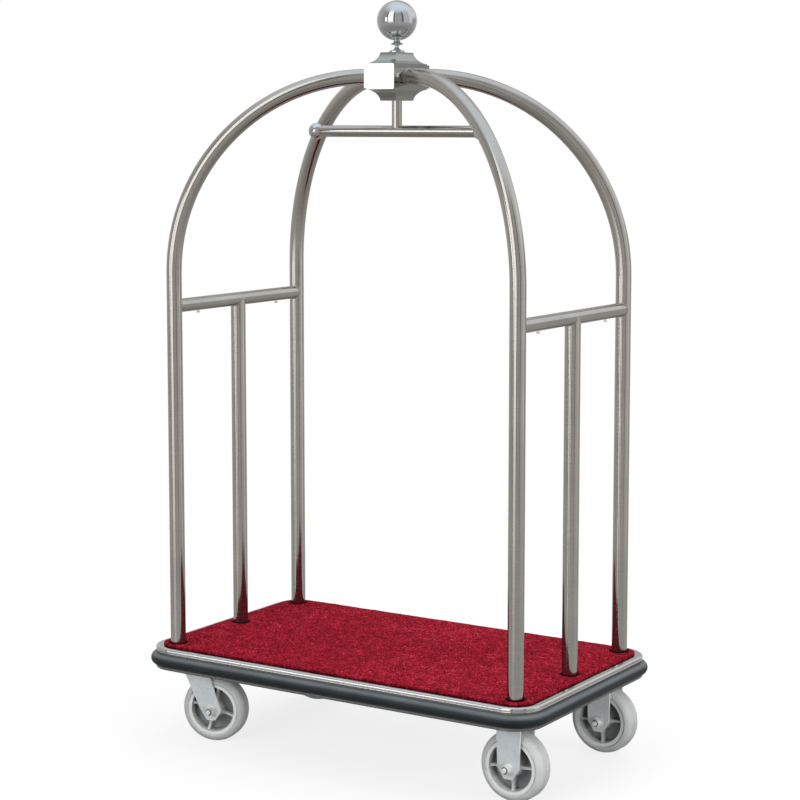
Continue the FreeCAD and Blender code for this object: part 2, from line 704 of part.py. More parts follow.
def make_finial():
    foot_z = hub_top_z + d.cap_height
    ball_foot = d.ball_center_z - d.ball_radius
    body = new_body("finial_base")
    profile = new_sketch(body, "finial_profile", "XZ_Plane")
    base, waist, bead = d.finial_base_radius, d.finial_waist_radius, d.finial_bead_radius
    scoop, stud = d.finial_scoop, d.finial_waist_radius + d.stud_extra
    # heights over the cap: spigot below it, rim, step, and the two ends of the waist
    spigot, rim, step, waist_low, waist_high = -6, 4, 6, 14, 16
    # heights under the ball: foot, widest and top of the bead
    bead_foot, bead_wide, bead_top = 10, 8, 6
    draw(profile, [
        (0, foot_z + spigot), (waist, foot_z + spigot), (waist, foot_z),
        (base, foot_z), (base, foot_z + rim), (base - 4, foot_z + rim + 1),
        (base - 5, foot_z + step, scoop, -1), (waist, foot_z + waist_low),
        (waist, foot_z + waist_high, scoop, -1), (bead - 1, ball_foot - bead_foot),
        (bead, ball_foot - bead_wide), (bead - 2, ball_foot - bead_top, scoop, -1),
        (stud, ball_foot), (stud, ball_foot + d.stud_rise), (0, ball_foot + d.stud_rise)])
    revolve(body, "finial_turning", profile, "V_Axis")
    keep("finial_base", body)
    shell = sphere("finial_shell", d.ball_radius, z=d.ball_center_z)
    hollow = sphere("finial_hollow", d.ball_radius - d.ball_wall, z=d.ball_center_z)
    stud_hole = cylinder("finial_stud_hole", stud, d.ball_radius, z=ball_foot - 1)
    keep("finial_ball", cut("finial_ball", shell,
                            group("finial_ball_tools", [hollow, stud_hole])))


def make_hanger():
    flat = root(d.hanger_ball_radius * d.hanger_ball_radius - d.hanger_radius * d.hanger_radius)
    reach = d.hanger_half - flat
    bar = tube("hanger_bar", d.hanger_radius, d.tube_wall, reach * 2,
               x=-reach, z=d.hanger_z, axis=(0, 1, 0), angle=90)
    keep("hanger_bar", bar)
    stem_top = hub_bottom_z - d.cap_height + d.cap_roof
    stem = tube("stem_tube", d.stem_radius, d.tube_wall, stem_top - d.hanger_z, z=d.hanger_z)
    saddle = cylinder("stem_saddle", d.hanger_radius, d.hanger_half, x=-d.hanger_half / 2,
                      z=d.hanger_z, axis=(0, 1, 0), angle=90)
    keep("hanger_stem", cut("hanger_stem", stem, saddle))
    for side, sign in SIDES.items():
        label = f"hanger_ball_{side}"
        ball = sphere(label + "_blank", d.hanger_ball_radius,
                      x=sign * d.hanger_half, z=d.hanger_z)
        low, high = sorted((as_dim(0), sign * reach), key=lambda v: v.value)
        room = d.hanger_ball_radius * 2
        flat_cut = box(label + "_flat", (low, -room, d.hanger_z - room),
                       (high, room, d.hanger_z + room))
        keep(label, cut(label, ball, flat_cut))


# ---- wheels; each is made round its own middle with the axle along Y

def axle_place(side, row):
    """Where a caster's axle middle is, and how far the caster is turned."""
    x, y = caster_origin(side, row)
    if side == RIGID_SIDE:
        return dict(x=x, y=y, z=axle_z, angle=as_dim(0))
    angle = d.rest_turn
    radians = math.radians(angle.value)
    ahead = Dim(f"cos({angle.formula} * 1 deg)", math.cos(radians))
    across = Dim(f"sin({angle.formula} * 1 deg)", math.sin(radians))
    return dict(x=x + d.trail * ahead, y=y + d.trail * across, z=axle_z, angle=angle)


def turned(name, corners):
    """A ring turned about the axle: corners are (radius, distance along the axle)."""
    body = new_body(name)
    profile = new_sketch(body, name + "_profile", "XY_Plane")
    draw(profile, corners)
    revolve(body, name + "_turning", profile, "V_Axis")
    return body


def make_tyre(label, spot):
    tread, half, bond = d.wheel_radius, d.tyre_half, d.tyre_bond
    side_radius, seat = tread - d.tyre_side_drop, half - d.bond_inset
    shoulder, flat = d.tyre_shoulder, d.tyre_flat
    body = turned(label, [
        (bond, -seat), (d.rim_outer, -d.rim_half), (side_radius, -half, shoulder, 1),
        (tread, -flat), (tread, flat, shoulder, 1), (side_radius, half),
        (d.rim_outer, d.rim_half), (bond, seat)])
    keep(label, place(body, **spot))


def make_core(label, spot, spoke_turn):
    bore, boss, rim = d.bearing_radius, d.boss_radius, d.rim_inner
    end, web, edge = d.boss_half, d.web_half, d.rim_half
    seat, root_radius, taper = d.tyre_half - d.bond_inset, boss + d.boss_flare, rim - d.rim_taper
    fillet, foot = d.web_fillet, root_radius + d.web_fillet
    ring = turned(label + "_ring", [
        (bore, -end), (boss, -end), (root_radius, -web - fillet, fillet, -1),
        (foot, -web), (taper, -web), (rim, -edge), (d.rim_outer, -edge),
        (d.tyre_bond, -seat), (d.tyre_bond, seat), (d.rim_outer, edge), (rim, edge),
        (taper, web), (foot, web, fillet, -1), (root_radius, web + fillet),
        (boss, end), (bore, end)])
    ribs = []
    for turn in range(SPOKES):
        rib = box(f"{label}_rib_{turn}",
                  (boss - d.rib_overlap, -d.spoke_half, -d.spoke_thick / 2),
                  (rim - d.rib_overlap / 2, d.spoke_half, d.spoke_thick / 2))
        turned_rib = group(f"{label}_rib_turned_{turn}", [rib])
        ribs.append(place(turned_rib, axis=(0, 1, 0), angle=360 / SPOKES * turn + spoke_turn))
    keep(label, place(fuse(label, [ring] + ribs), **spot))


def make_bearings(label, spot):
    bore = d.axle_radius + d.axle_gap
    rings = []
    for name, way in (("near", -1), ("far", 1)):
        inner_y, face_y = way * (d.boss_half - d.bearing_width), way * d.boss_half
        corners = [(bore, inner_y), (d.bearing_radius, inner_y), (d.bearing_radius, face_y),
                   (d.race_radius, face_y), (d.race_radius, way * d.race_reach),
                   (bore, way * d.race_reach)]
        rings.append(turned(f"{label}_{name}", corners if way > 0 else corners[::-1]))
    keep(label, place(group(label, rings), **spot))


def axle_bolt(name, spot):
    length = leg_outer * 2 + d.axle_end
    lay = dict(axis=(1, 0, 0), angle=90)
    shank = cylinder(name + "_shank", d.axle_radius, length, y=leg_outer, **lay)
    head = hexagon(name + "_head", d.axle_radius * NUT_PER_SHANK, d.axle_head_thick,
                   y=leg_outer + d.axle_head_thick, **lay)
    return place(fuse(name, [shank, head]), **spot)


def axle_nut(name, spot):
    """Lock nut with its washer, on the -Y side."""
    lay = dict(axis=(1, 0, 0), angle=90)
    washer = cylinder(name + "_washer", d.axle_radius * WASHER_PER_SHANK, d.washer_thick,
                      y=-leg_outer, **lay)
    hex_y = -leg_outer - d.washer_thick
    hexed = hexagon(name + "_hex", d.axle_radius * NUT_PER_SHANK, d.nut_thick, y=hex_y, **lay)
    collar_foot, collar_end = (d.axle_radius * ratio for ratio in COLLAR_PER_SHANK)
    collar = cone(name + "_collar", collar_foot, collar_end, d.nut_collar,
                  y=hex_y - d.nut_thick, **lay)
    bore = cylinder(name + "_bore", d.axle_radius, d.axle_end * 2, y=-leg_outer, **lay)
    return place(cut(name, fuse(name + "_blank", [washer, hexed, collar]), bore), **spot)


# ---- caster frames

def leg_outline(top_z, top_half, shift):
    """A fork leg seen from the side; shift is the axle's distance behind the plate's middle."""
    return [(-top_half, top_z), (shift - d.leg_low_half, axle_z),
            (shift - d.leg_tip_half, d.leg_tip_z), (shift + d.leg_tip_half, d.leg_tip_z),
            (shift + d.leg_low_half, axle_z), (top_half, top_z)]


def make_legs(name, top_z, shift):
    legs = []
    for side, way in (("near", -1), ("far", 1)):
        body = new_body(f"{name}_leg_{side}")
        outline = new_sketch(body, f"{name}_leg_{side}_outline", "XZ_Plane")
        draw(outline, leg_outline(top_z, d.leg_top_half, shift))
        circle(outline, shift, axle_z, d.axle_radius)
        pad(body, f"{name}_leg_{side}_pad", outline, d.leg_thick, both_ways=True)
        legs.append(place(body, y=way * (d.leg_inner + d.leg_thick / 2)))
    return legs


def plate_blank(name):
    plate = box(name + "_blank", (-d.plate_half_x, -d.plate_half_y, plate_bottom_z),
                (d.plate_half_x, d.plate_half_y, plate_top_z))
    rounded = doc.addObject("Part::Fillet", name + "_rounded")
    rounded.Base = plate
    corner_radius = d.plate_corner.value
    doc.recompute()
    upright = [n for n, edge in enumerate(plate.Shape.Edges, 1)
               if abs(edge.tangentAt(edge.FirstParameter).z) > 0.99]
    rounded.Edges = [(n, corner_radius, corner_radius) for n in upright]
    return rounded


def plate_holes(name):
    return [cylinder(f"{name}_hole_{a + 1}{b + 1}", d.bolt_radius + d.bolt_gap, d.plate_thick,
                     x=a * d.bolt_half_x, y=b * d.bolt_half_y, z=plate_bottom_z)
            for a in (-1, 1) for b in (-1, 1)]


def make_rigid_bracket(row):
    """Plate and two legs welded into one piece."""
    label = f"rigid_bracket_{row}"
    x, y = caster_origin(RIGID_SIDE, row)
    crown = box(label + "_crown", (-d.leg_top_half, -leg_outer, plate_bottom_z - d.leg_thick),
                (d.leg_top_half, leg_outer, plate_bottom_z))
    solid = fuse(label + "_welded",
                 [plate_blank(label), crown] + make_legs(label, plate_bottom_z, as_dim(0)))
    bracket = cut(label, solid, group(label + "_holes", plate_holes(label)))
    keep(label, place(bracket, x=x, y=y))


def race_groove(name):
    """Half of it is cut into each race."""
    ring = doc.addObject("Part::Torus", name)
    bind(ring, Radius1=d.ball_track, Radius2=d.race_ball + d.groove_gap)
    return place(ring, z=d.race_split_z)


def make_swivel_plate(row):
    """Top plate with the upper race and its skirt."""
    label = f"swivel_plate_{row}"
    x, y = caster_origin(SWIVEL_SIDE, row)
    race = new_body(label + "_race")
    profile = new_sketch(race, label + "_race_profile", "XZ_Plane")
    split = d.race_split_z + d.race_gap
    skirt_inner, skirt_foot = d.skirt_radius - d.skirt_thick, d.crown_top_z + d.skirt_gap
    draw(profile, [(d.upper_race_bore, plate_bottom_z), (d.upper_race_bore, split),
                   (skirt_inner, split), (skirt_inner, skirt_foot),
                   (d.skirt_radius, skirt_foot), (d.skirt_radius, plate_bottom_z)])
    revolve(race, label + "_race_turning", profile, "V_Axis")
    groove = race_groove(label + "_groove")
    pin_hole = cylinder(label + "_pin_hole", d.kingpin_radius, d.skirt_radius * 2,
                        z=plate_bottom_z - d.skirt_radius)
    solid = fuse(label + "_pressed", [plate_blank(label), race])
    tools = group(label + "_tools", plate_holes(label) + [groove, pin_hole])
    keep(label, place(cut(label, solid, tools), x=x, y=y))


def make_swivel_fork(row):
    """Crown with the lower race, and two legs that carry the axle behind the kingpin."""
    label = f"swivel_fork_{row}"
    x, y = caster_origin(SWIVEL_SIDE, row)
    crown_z = d.crown_top_z - d.leg_thick
    crown = box(label + "_crown", (-d.leg_top_half, -leg_outer, crown_z),
                (d.leg_top_half, leg_outer, d.crown_top_z))
    race = cylinder(label + "_race", d.skirt_radius - d.lower_race_inset,
                    d.race_split_z - d.race_gap - crown_z, z=crown_z)
    groove = race_groove(label + "_groove")
    pin_hole = cylinder(label + "_pin_hole", d.kingpin_radius + d.kingpin_gap,
                        d.skirt_radius * 2, z=crown_z - d.skirt_radius)
    solid = fuse(label + "_pressed",
                 [crown, race] + make_legs(label, d.crown_top_z, d.trail))
    fork = cut(label, solid, group(label + "_tools", [groove, pin_hole]))
    keep(label, place(fork, x=x, y=y, angle=d.rest_turn))


def make_swivel_bearing(row):
    """The ring of balls, and the kingpin that holds the fork up."""
    x, y = caster_origin(SWIVEL_SIDE, row)
    label = f"swivel_balls_{row}"
    balls = []
    for n in range(RACE_BALLS):
        angle = 2 * math.pi * n / RACE_BALLS
        balls.append(sphere(f"{label}_{n}", d.race_ball, x=d.ball_track * math.cos(angle),
                            y=d.ball_track * math.sin(angle), z=d.race_split_z))
    keep(label, place(group(label, balls), x=x, y=y, angle=d.rest_turn))
    label = f"kingpin_{row}"
    crown_z = d.crown_top_z - d.leg_thick
    foot_z = crown_z - d.kingpin_nut_thick - d.kingpin_nut_gap
    shank = cylinder(label + "_shank", d.kingpin_radius,
                     plate_top_z + d.kingpin_head_thick - foot_z, z=foot_z)
    head = cylinder(label + "_head", d.kingpin_radius * PIN_HEAD_PER_PIN, d.kingpin_head_thick,
                    z=plate_top_z)
    nut = hexagon(label + "_nut", d.kingpin_radius * NUT_PER_SHANK, d.kingpin_nut_thick, z=foot_z)
    keep(label, place(fuse(label, [shank, head, nut]), x=x, y=y))


def make_caster_bolts():
    bolts = []
    for side in SIDES:
        for row in ROWS:
            for n, (x, y) in enumerate(bolt_places(side, row)):
                name = f"caster_bolt_{row}_{side}_{n}"
                head_z = plate_bottom_z - d.bolt_head_thick
                head = hexagon(name + "_head", d.bolt_radius * HEAD_PER_SHANK,
                               d.bolt_head_thick, x=x, y=y, z=head_z)
                shank = cylinder(name + "_shank", d.bolt_radius,
                                 plate_top_z + d.mount_plate_thick - d.bolt_short - head_z,
                                 x=x, y=y, z=head_z)
                bolts.append(fuse(name, [head, shank]))
    keep("caster_mount_bolts", group("caster_mount_bolts", bolts))


def make_wheels():
    for side in SIDES:
        for row in ROWS:
            name = f"{row}_{side}"
            spot = axle_place(side, row)
            make_tyre(f"tyre_{name}", spot)
            make_core(f"wheel_core_{name}", spot, SPOKE_TURN[side])
            make_bearings(f"wheel_bearings_{name}", spot)
    for row in ROWS:
        spot = axle_place(SWIVEL_SIDE, row)
        keep(f"axle_bolt_{row}_left", axle_bolt(f"axle_bolt_{row}_left", spot))
        keep(f"axle_nut_{row}_left", axle_nut(f"axle_nut_{row}_left", spot))
    for piece, make in (("axle_bolts_right", axle_bolt), ("axle_nuts_right", axle_nut)):
        pair = [make(f"{piece}_{row}", axle_place(RIGID_SIDE, row)) for row in ROWS]
        keep(piece, group(piece, pair))


make_sheet("carpet", as_dim(0), board_top_z, d.carpet_thick, d.carpet_hole)
make_sheet("deck_board", d.board_inset, frame_top_z, d.board_thick, d.tube_radius + d.board_gap)
make_edge_trim()
make_bumper()
make_deck_frame()
make_mount_plates()
make_arches()
make_mid_posts()
make_side_rails()
make_post_fixings()
make_hub_block()
make_hub_cap("hub_top_cap", hub_top_z, False, d.finial_waist_radius)
make_hub_cap("hub_bottom_cap", hub_bottom_z, True, d.stem_radius)
make_finial()
make_hanger()
make_wheels()
for caster_row in ROWS:
    make_rigid_bracket(caster_row)
    make_swivel_plate(caster_row)
    make_swivel_fork(caster_row)
    make_swivel_bearing(caster_row)
make_caster_bolts()

doc.recompute()
failed = [o.Name for o in doc.Objects if {"Invalid", "Error"} & set(o.State)]
failed += [label for label, o in parts.items() if o.Shape.isNull() or not o.Shape.isValid()
           or not o.Shape.Solids]
if failed:
    raise SystemExit("failed objects: " + ", ".join(failed))
for label, obj in sorted(parts.items()):
    obj.Shape.exportStep(f"parts/{label}.step")
    print(f"{label}: {len(obj.Shape.Solids)} solid(s), {obj.Shape.Volume / 1000:.1f} cm3")
print(len(parts), "sub-parts")
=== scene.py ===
"""Hotel luggage cart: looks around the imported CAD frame. Metres, the row's own frame."""

import itertools
import json
import math

import bmesh
import bpy
import numpy as np
from mathutils import Matrix, Vector

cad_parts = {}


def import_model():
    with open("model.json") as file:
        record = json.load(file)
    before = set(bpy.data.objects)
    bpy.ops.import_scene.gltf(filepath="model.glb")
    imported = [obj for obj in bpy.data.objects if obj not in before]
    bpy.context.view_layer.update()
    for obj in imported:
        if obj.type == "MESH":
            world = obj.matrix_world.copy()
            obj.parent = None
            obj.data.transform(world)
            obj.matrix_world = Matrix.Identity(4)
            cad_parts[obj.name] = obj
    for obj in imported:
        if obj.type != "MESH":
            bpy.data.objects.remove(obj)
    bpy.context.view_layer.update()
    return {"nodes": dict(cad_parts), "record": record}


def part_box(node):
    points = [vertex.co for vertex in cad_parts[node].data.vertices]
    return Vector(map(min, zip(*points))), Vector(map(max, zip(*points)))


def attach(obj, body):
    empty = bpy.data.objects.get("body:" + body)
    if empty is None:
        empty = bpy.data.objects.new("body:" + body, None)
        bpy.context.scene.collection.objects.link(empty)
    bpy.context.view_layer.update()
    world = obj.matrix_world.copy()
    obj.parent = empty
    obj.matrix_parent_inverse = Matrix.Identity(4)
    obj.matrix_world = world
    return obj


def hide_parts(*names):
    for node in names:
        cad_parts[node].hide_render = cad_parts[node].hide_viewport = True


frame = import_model()
NODES = frame["nodes"]
SLOT_OF = {row["node"]: row["material_slot"] for row in frame["record"]["subparts"]}

# sizes repeated from part.py, in metres
POST_X, POST_Y = 0.488, 0.261
POST_ROWS = (-POST_Y, 0.0, POST_Y)
TUBE_RADIUS = 0.019
BEND_START_Z, BEND_RADIUS = 1.182, 0.481
BEND_CENTRE = math.hypot(POST_X, POST_Y) - BEND_RADIUS
ARCH_ANGLE = math.atan2(POST_Y, POST_X)
CARPET_CORNER, CARPET_HOLE = 0.052, 0.022
WHEEL_RADIUS = 0.083
RIM_OUTER, RIM_INNER, RIM_HALF = 0.066, 0.0565, 0.026
LEG_OUTER = 0.0365
AXLE_RADIUS = 0.006
RIGID_X, SWIVEL_X, CASTER_Y, TRAIL = 0.469, -0.442, 0.224, 0.038
RAIL_Z, RAIL_RADIUS = 1.100, 0.017
ARCH_TOP_Z, HUB_HALF_X = 1.663, 0.043
HANGER_Z, HANGER_RADIUS, STEM_RADIUS = 1.531, 0.01425, 0.0125
CASTER_PLATE_Z, BOLT_TOP_Z, CASTER_BOLT = 0.190, 0.2005, 0.004
TRIM_NECK_Z = 0.2305
BOLT_X, BOLT_Y = 0.031, 0.045
REST_TURN = math.radians(15)
SPOKE_TURN = {"left": math.radians(14), "right": math.radians(-4)}
ROWS = {"front": -1, "back": 1}


# ---- material graphs

class Nodes:
    """Short names for the nodes that are used often, in one node tree."""

    def __init__(self, tree):
        self.tree = tree
        tree.nodes.clear()

    def node(self, kind, inputs=(), **settings):
        node = self.tree.nodes.new("ShaderNode" + kind)
        for name, value in settings.items():
            setattr(node, name, value)
        for key, value in dict(inputs).items():
            self.put(node.inputs[key], value)
        return node

    def put(self, socket, value):
        if isinstance(value, bpy.types.NodeSocket):
            self.tree.links.new(value, socket)
        else:
            socket.default_value = value

    def math(self, operation, a, b=0.0, c=0.0):
        return self.node("Math", {0: a, 1: b, 2: c}, operation=operation).outputs[0]

    def plus(self, a, b):
        return self.math("ADD", a, b)

    def minus(self, a, b):
        return self.math("SUBTRACT", a, b)

    def times(self, a, b):
        return self.math("MULTIPLY", a, b)

    def most(self, a, b):
        return self.math("MAXIMUM", a, b)

    def least(self, a, b):
        return self.math("MINIMUM", a, b)

    def vector(self, operation, a, b=(0, 0, 0)):
        return self.node("VectorMath", {0: a, 1: b}, operation=operation).outputs[0]

    def scaled(self, vector, scale):
        return self.vector("MULTIPLY", vector, scale)

    def length(self, vector):
        return self.node("VectorMath", {0: vector}, operation="LENGTH").outputs["Value"]

    def split(self, vector):
        return self.node("SeparateXYZ", {0: vector}).outputs

    def join(self, x, y, z):
        return self.node("CombineXYZ", {0: x, 1: y, 2: z}).outputs[0]

    def noise(self, vector, detail=3.0, rough=0.55):
        return self.node("TexNoise", {"Vector": vector, "Scale": 1.0, "Detail": detail,
                                      "Roughness": rough}).outputs[0]

    def remap(self, value, low, high, to_low=0.0, to_high=1.0, kind="LINEAR"):
        return self.node("MapRange", {0: value, 1: low, 2: high, 3: to_low, 4: to_high},
                         interpolation_type=kind).outputs[0]

    def fade(self, value, low, high, to_low=0.0, to_high=1.0):
        return self.remap(value, low, high, to_low, to_high, "SMOOTHSTEP")

    def ramp(self, value, stops):
        node = self.node("ValToRGB", {0: value})
        bar = node.color_ramp.elements
        while len(bar) < len(stops):
            bar.new(0.5)
        for element, (at, color) in zip(bar, stops):
            element.position = at
            element.color = (*color, 1)
        return node.outputs[0]

    def mix(self, factor, a, b, blend_type="MIX"):
        return self.node("Mix", {0: factor, 6: a, 7: b}, data_type="RGBA",
                         blend_type=blend_type).outputs[2]

    def bump(self, height, distance, strength=1.0):
        return self.node("Bump", {"Height": height, "Distance": distance,
                                  "Strength": strength}).outputs[0]


class Graph(Nodes):
    """The node graph of one material, round a Principled shader."""

    def __init__(self, name, **sockets):
        self.material = bpy.data.materials.new(name)
        self.material.use_nodes = True
        super().__init__(self.material.node_tree)
        self.output = self.node("OutputMaterial")
        self.shader = self.node("BsdfPrincipled")
        self.tree.links.new(self.shader.outputs[0], self.output.inputs["Surface"])
        for socket, value in sockets.items():
            self.shader.inputs[socket.replace("_", " ")].default_value = value
        self.place = self.node("TexCoord").outputs["Object"]

    def set(self, socket, value):
        self.put(self.shader.inputs[socket], value)

    def at_scale(self, *scale):
        """The object's coordinates times one scale, or times one scale for each axis."""
        return self.scaled(self.place, scale * 3 if len(scale) == 1 else scale)


def rgba(color, gain):
    """A colour made darker or lighter, with its alpha."""
    return (color[0] * gain, color[1] * gain, color[2] * gain, 1)


# how metal varies: tones of worn and rubbed places, and roughness from hairlines
WORN_SHADE, RUBBED_SHADE, HAIR_ROUGHNESS = 0.93, 1.05, 0.015
# painted shade on metal: its darker tone and how much rougher it is
PAINTED_SHADE_TONE, PAINTED_SHADE_ROUGHNESS = 0.38, 0.15
# coordinate scales on the tubes: along a hairline, across it, and of the smudges
ALONG_HAIRS, ACROSS_HAIRS, TUBE_SMUDGES = 30.0, 900.0, 9.0


def metal(name, color, grain, tangent=None, rough=(0.11, 0.16), anisotropy=0.4, wear=0.05,
          hairline=1.0e-5, metallic=1.0, painted_shade=None):
    """Satin metal: hairlines across the grain vector, smudges, and small tone changes.

    The last argument gives how far painted shade covers the metal, from 0 to 1; there the metal
    is darker and a little rougher."""
    g = Graph(name, Metallic=metallic, Anisotropic=anisotropy)
    lines, smudges = grain(g)
    hair = g.noise(lines, 4.0, 0.6)
    smudge = g.noise(smudges, 3.0, 0.5)
    tone = g.plus(g.remap(hair, 0.3, 0.7, -wear, wear),
                  g.remap(smudge, 0.3, 0.7, -wear, wear))
    clean = g.mix(g.remap(tone, -wear, wear), rgba(color, WORN_SHADE), rgba(color, RUBBED_SHADE))
    spread = g.plus(g.remap(smudge, 0.35, 0.7, rough[0], rough[1]),
                    g.remap(hair, 0.3, 0.7, -HAIR_ROUGHNESS, HAIR_ROUGHNESS))
    # painted shade where the last argument's mask is on: darker colour, rougher metal
    if painted_shade is not None:
        shade_cover = painted_shade(g)
        clean = g.mix(shade_cover, clean, rgba(color, PAINTED_SHADE_TONE))
        spread = g.plus(spread, g.times(shade_cover, PAINTED_SHADE_ROUGHNESS))
    g.set("Base Color", clean)
    g.set("Roughness", spread)
    g.set("Normal", g.bump(hair, hairline))
    if tangent is not None:
        g.set("Tangent", tangent(g))
    return g.material


def straight_grain(axis, fine=ACROSS_HAIRS, coarse=TUBE_SMUDGES):
    """Hairlines that run round a piece which lies along an axis, and its smudges."""
    def build(g):
        scale = [ALONG_HAIRS] * 3
        scale[axis] = fine
        return g.at_scale(*scale), g.at_scale(coarse)
    return build


def straight_tangent(axis):
    """The tangent of a satin piece that lies along an axis: that axis."""
    def build(g):
        direction = [0.0, 0.0, 0.0]
        direction[axis] = 1.0
        return g.join(*direction)
    return build


def trim_painted_shade(g):
    """Painted shade on the trim: darker and rougher in the neck right above the bumper, and
    everywhere below it.
    """
    height = g.split(g.place)[2]
    return g.fade(height, TRIM_NECK_Z + 0.001, TRIM_NECK_Z - 0.0005)


def arch_parts(g):
    """Place of a point on the four arches: its coordinates, its distance from the cart's
    upright middle line, its height above the bend's start, its distance from the bend's
    middle across the cart, and how far round the bend it is."""
    x, y, z = g.split(g.place)
    flat = g.length(g.join(x, y, 0.0))
    rise = g.most(g.minus(z, BEND_START_Z), 0.0)
    inward = g.minus(flat, BEND_CENTRE)
    turn = g.math("ARCTAN2", rise, g.most(inward, 1e-4))
    return x, y, z, flat, rise, inward, turn


def arch_grain(g):
    """Hairlines that run round the arch tubes and follow their bend."""
    x, y, z, _, rise, inward, turn = arch_parts(g)
    low = g.least(z, BEND_START_Z)
    along = g.plus(low, g.times(turn, BEND_RADIUS))
    reach = g.math("SQRT", g.plus(g.times(rise, rise), g.times(inward, inward)))
    out = g.minus(reach, BEND_RADIUS)
    side = g.minus(g.times(g.math("ABSOLUTE", x), math.sin(ARCH_ANGLE)),
                   g.times(g.math("ABSOLUTE", y), math.cos(ARCH_ANGLE)))
    lengthwise = g.scaled(g.join(out, side, along), (ALONG_HAIRS, ALONG_HAIRS, ACROSS_HAIRS))
    return lengthwise, g.at_scale(TUBE_SMUDGES)


def arch_tangent(g):
    """The tube's own direction, up the upright and round the bend towards the hub."""
    x, y, _, flat, _, _, turn = arch_parts(g)
    back = g.math("DIVIDE", g.math("SINE", turn), g.times(flat, -1.0))
    return g.join(g.times(x, back), g.times(y, back), g.math("COSINE", turn))


STEEL = (0.60, 0.585, 0.55)
BRIGHT = (0.69, 0.71, 0.73)
ALUMINIUM = (0.74, 0.735, 0.725)
ZINC = (0.60, 0.64, 0.66)
YELLOWISH_ZINC = (0.84, 0.85, 0.81)
HUB_STEEL = (0.475, 0.490, 0.465)

tube_arch = metal("satin_steel_bent", STEEL, arch_grain, arch_tangent)
tube_upright = metal("satin_steel_upright", STEEL, straight_grain(2), straight_tangent(2))
tube_across = metal("satin_steel_across", STEEL, straight_grain(1), straight_tangent(1))
tube_along = metal("satin_steel_along", STEEL, straight_grain(0), straight_tangent(0))
plate_steel = metal("satin_steel_plate", STEEL, straight_grain(2, fine=700.0),
                    rough=(0.05, 0.10), anisotropy=0.0)
hub_steel = metal("satin_steel_hub", HUB_STEEL, straight_grain(2, fine=700.0),
                  rough=(0.05, 0.10), anisotropy=0.0)
mirror_steel = metal("polished_steel", BRIGHT, straight_grain(2, fine=300.0, coarse=25.0),
                     rough=(0.02, 0.05), anisotropy=0.0, wear=0.03, hairline=3e-6)
# the trim gets painted shade round the bumper
trim_metal = metal("polished_trim", ALUMINIUM, straight_grain(2, fine=1500.0, coarse=12.0),
                   rough=(0.08, 0.15), anisotropy=0.0, wear=0.05, hairline=1.0e-5,
                   painted_shade=trim_painted_shade)
bright_zinc = metal("fastener_zinc", YELLOWISH_ZINC,
                    straight_grain(2, fine=200.0, coarse=90.0),
                    rough=(0.28, 0.42), anisotropy=0.0, wear=0.08, metallic=0.55)


def zinc_plate_material():
    """Zinc-plated pressings: faint spangle, rolled grain, and faces towards the ends made
    brighter by a painted highlight.
    """
    g = Graph("caster_zinc", Metallic=0.4)
    spangle = g.node("TexVoronoi", {"Vector": g.at_scale(160.0), "Scale": 1.0})
    tone = g.split(spangle.outputs["Color"])[0]
    cloud = g.noise(g.at_scale(22.0), 4.0)
    grain = g.noise(g.at_scale(260.0, 260.0, 1400.0), 3.0)
    mixed = g.plus(g.times(tone, 0.35), g.times(cloud, 0.65))
    plate = g.mix(g.remap(mixed, 0.2, 0.8), rgba(ZINC, 0.90), rgba(ZINC, 1.06))
    # painted highlight: the faces that look along X, towards the cart's ends, are made brighter
    painted_light_facing = g.math("ABSOLUTE", g.split(g.node("NewGeometry").outputs["Normal"])[0])
    g.set("Base Color", g.mix(g.remap(painted_light_facing, 0.6, 0.9), plate, rgba(ZINC, 1.35)))
    g.set("Roughness", g.remap(mixed, 0.2, 0.8, 0.46, 0.34))
    g.set("Normal", g.bump(grain, 3e-5))
    return g.material


def rubber_material():
    """Moulded bumper: paler bluish upper side, partly dust and partly a painted highlight of
    light from above; fine pores, a few rub marks along it.
    """
    g = Graph("bumper_rubber", Specular_IOR_Level=0.35)
    rub = g.noise(g.at_scale(7.0, 7.0, 160.0), 5.0, 0.6)
    cloud = g.noise(g.at_scale(14.0, 14.0, 30.0), 4.0)
    pores = g.noise(g.at_scale(900.0), 2.0)
    mixed = g.plus(g.times(rub, 0.45), g.times(cloud, 0.55))
    clean = g.ramp(mixed, [(0.30, (0.005, 0.008, 0.010)), (0.52, (0.009, 0.014, 0.016)),
                           (0.75, (0.020, 0.027, 0.030))])
    # painted highlight, partly dust: faces that look up are made paler and bluish
    painted_light_facing = g.split(g.node("NewGeometry").outputs["Normal"])[2]
    dust = g.times(g.fade(painted_light_facing, 0.22, 0.9), g.remap(cloud, 0.2, 0.7, 0.7, 1.0))
    g.set("Base Color", g.mix(dust, clean, (0.125, 0.142, 0.150, 1)))
    g.set("Roughness", g.remap(mixed, 0.3, 0.7, 0.36, 0.50))
    g.set("Normal", g.bump(g.plus(pores, g.times(rub, 0.5)), 6e-5))
    return g.material


def paint_material():
    """Satin powder coat with orange peel."""
    g = Graph("frame_powder_coat")
    peel = g.noise(g.at_scale(420.0), 2.0)
    dust = g.noise(g.at_scale(18.0), 5.0, 0.6)
    g.set("Base Color", g.ramp(dust, [(0.3, (0.030, 0.031, 0.034)),
                                      (0.7, (0.060, 0.060, 0.062))]))
    g.set("Roughness", g.remap(dust, 0.3, 0.7, 0.38, 0.55))
    g.set("Normal", g.bump(peel, 1.2e-4))
    return g.material


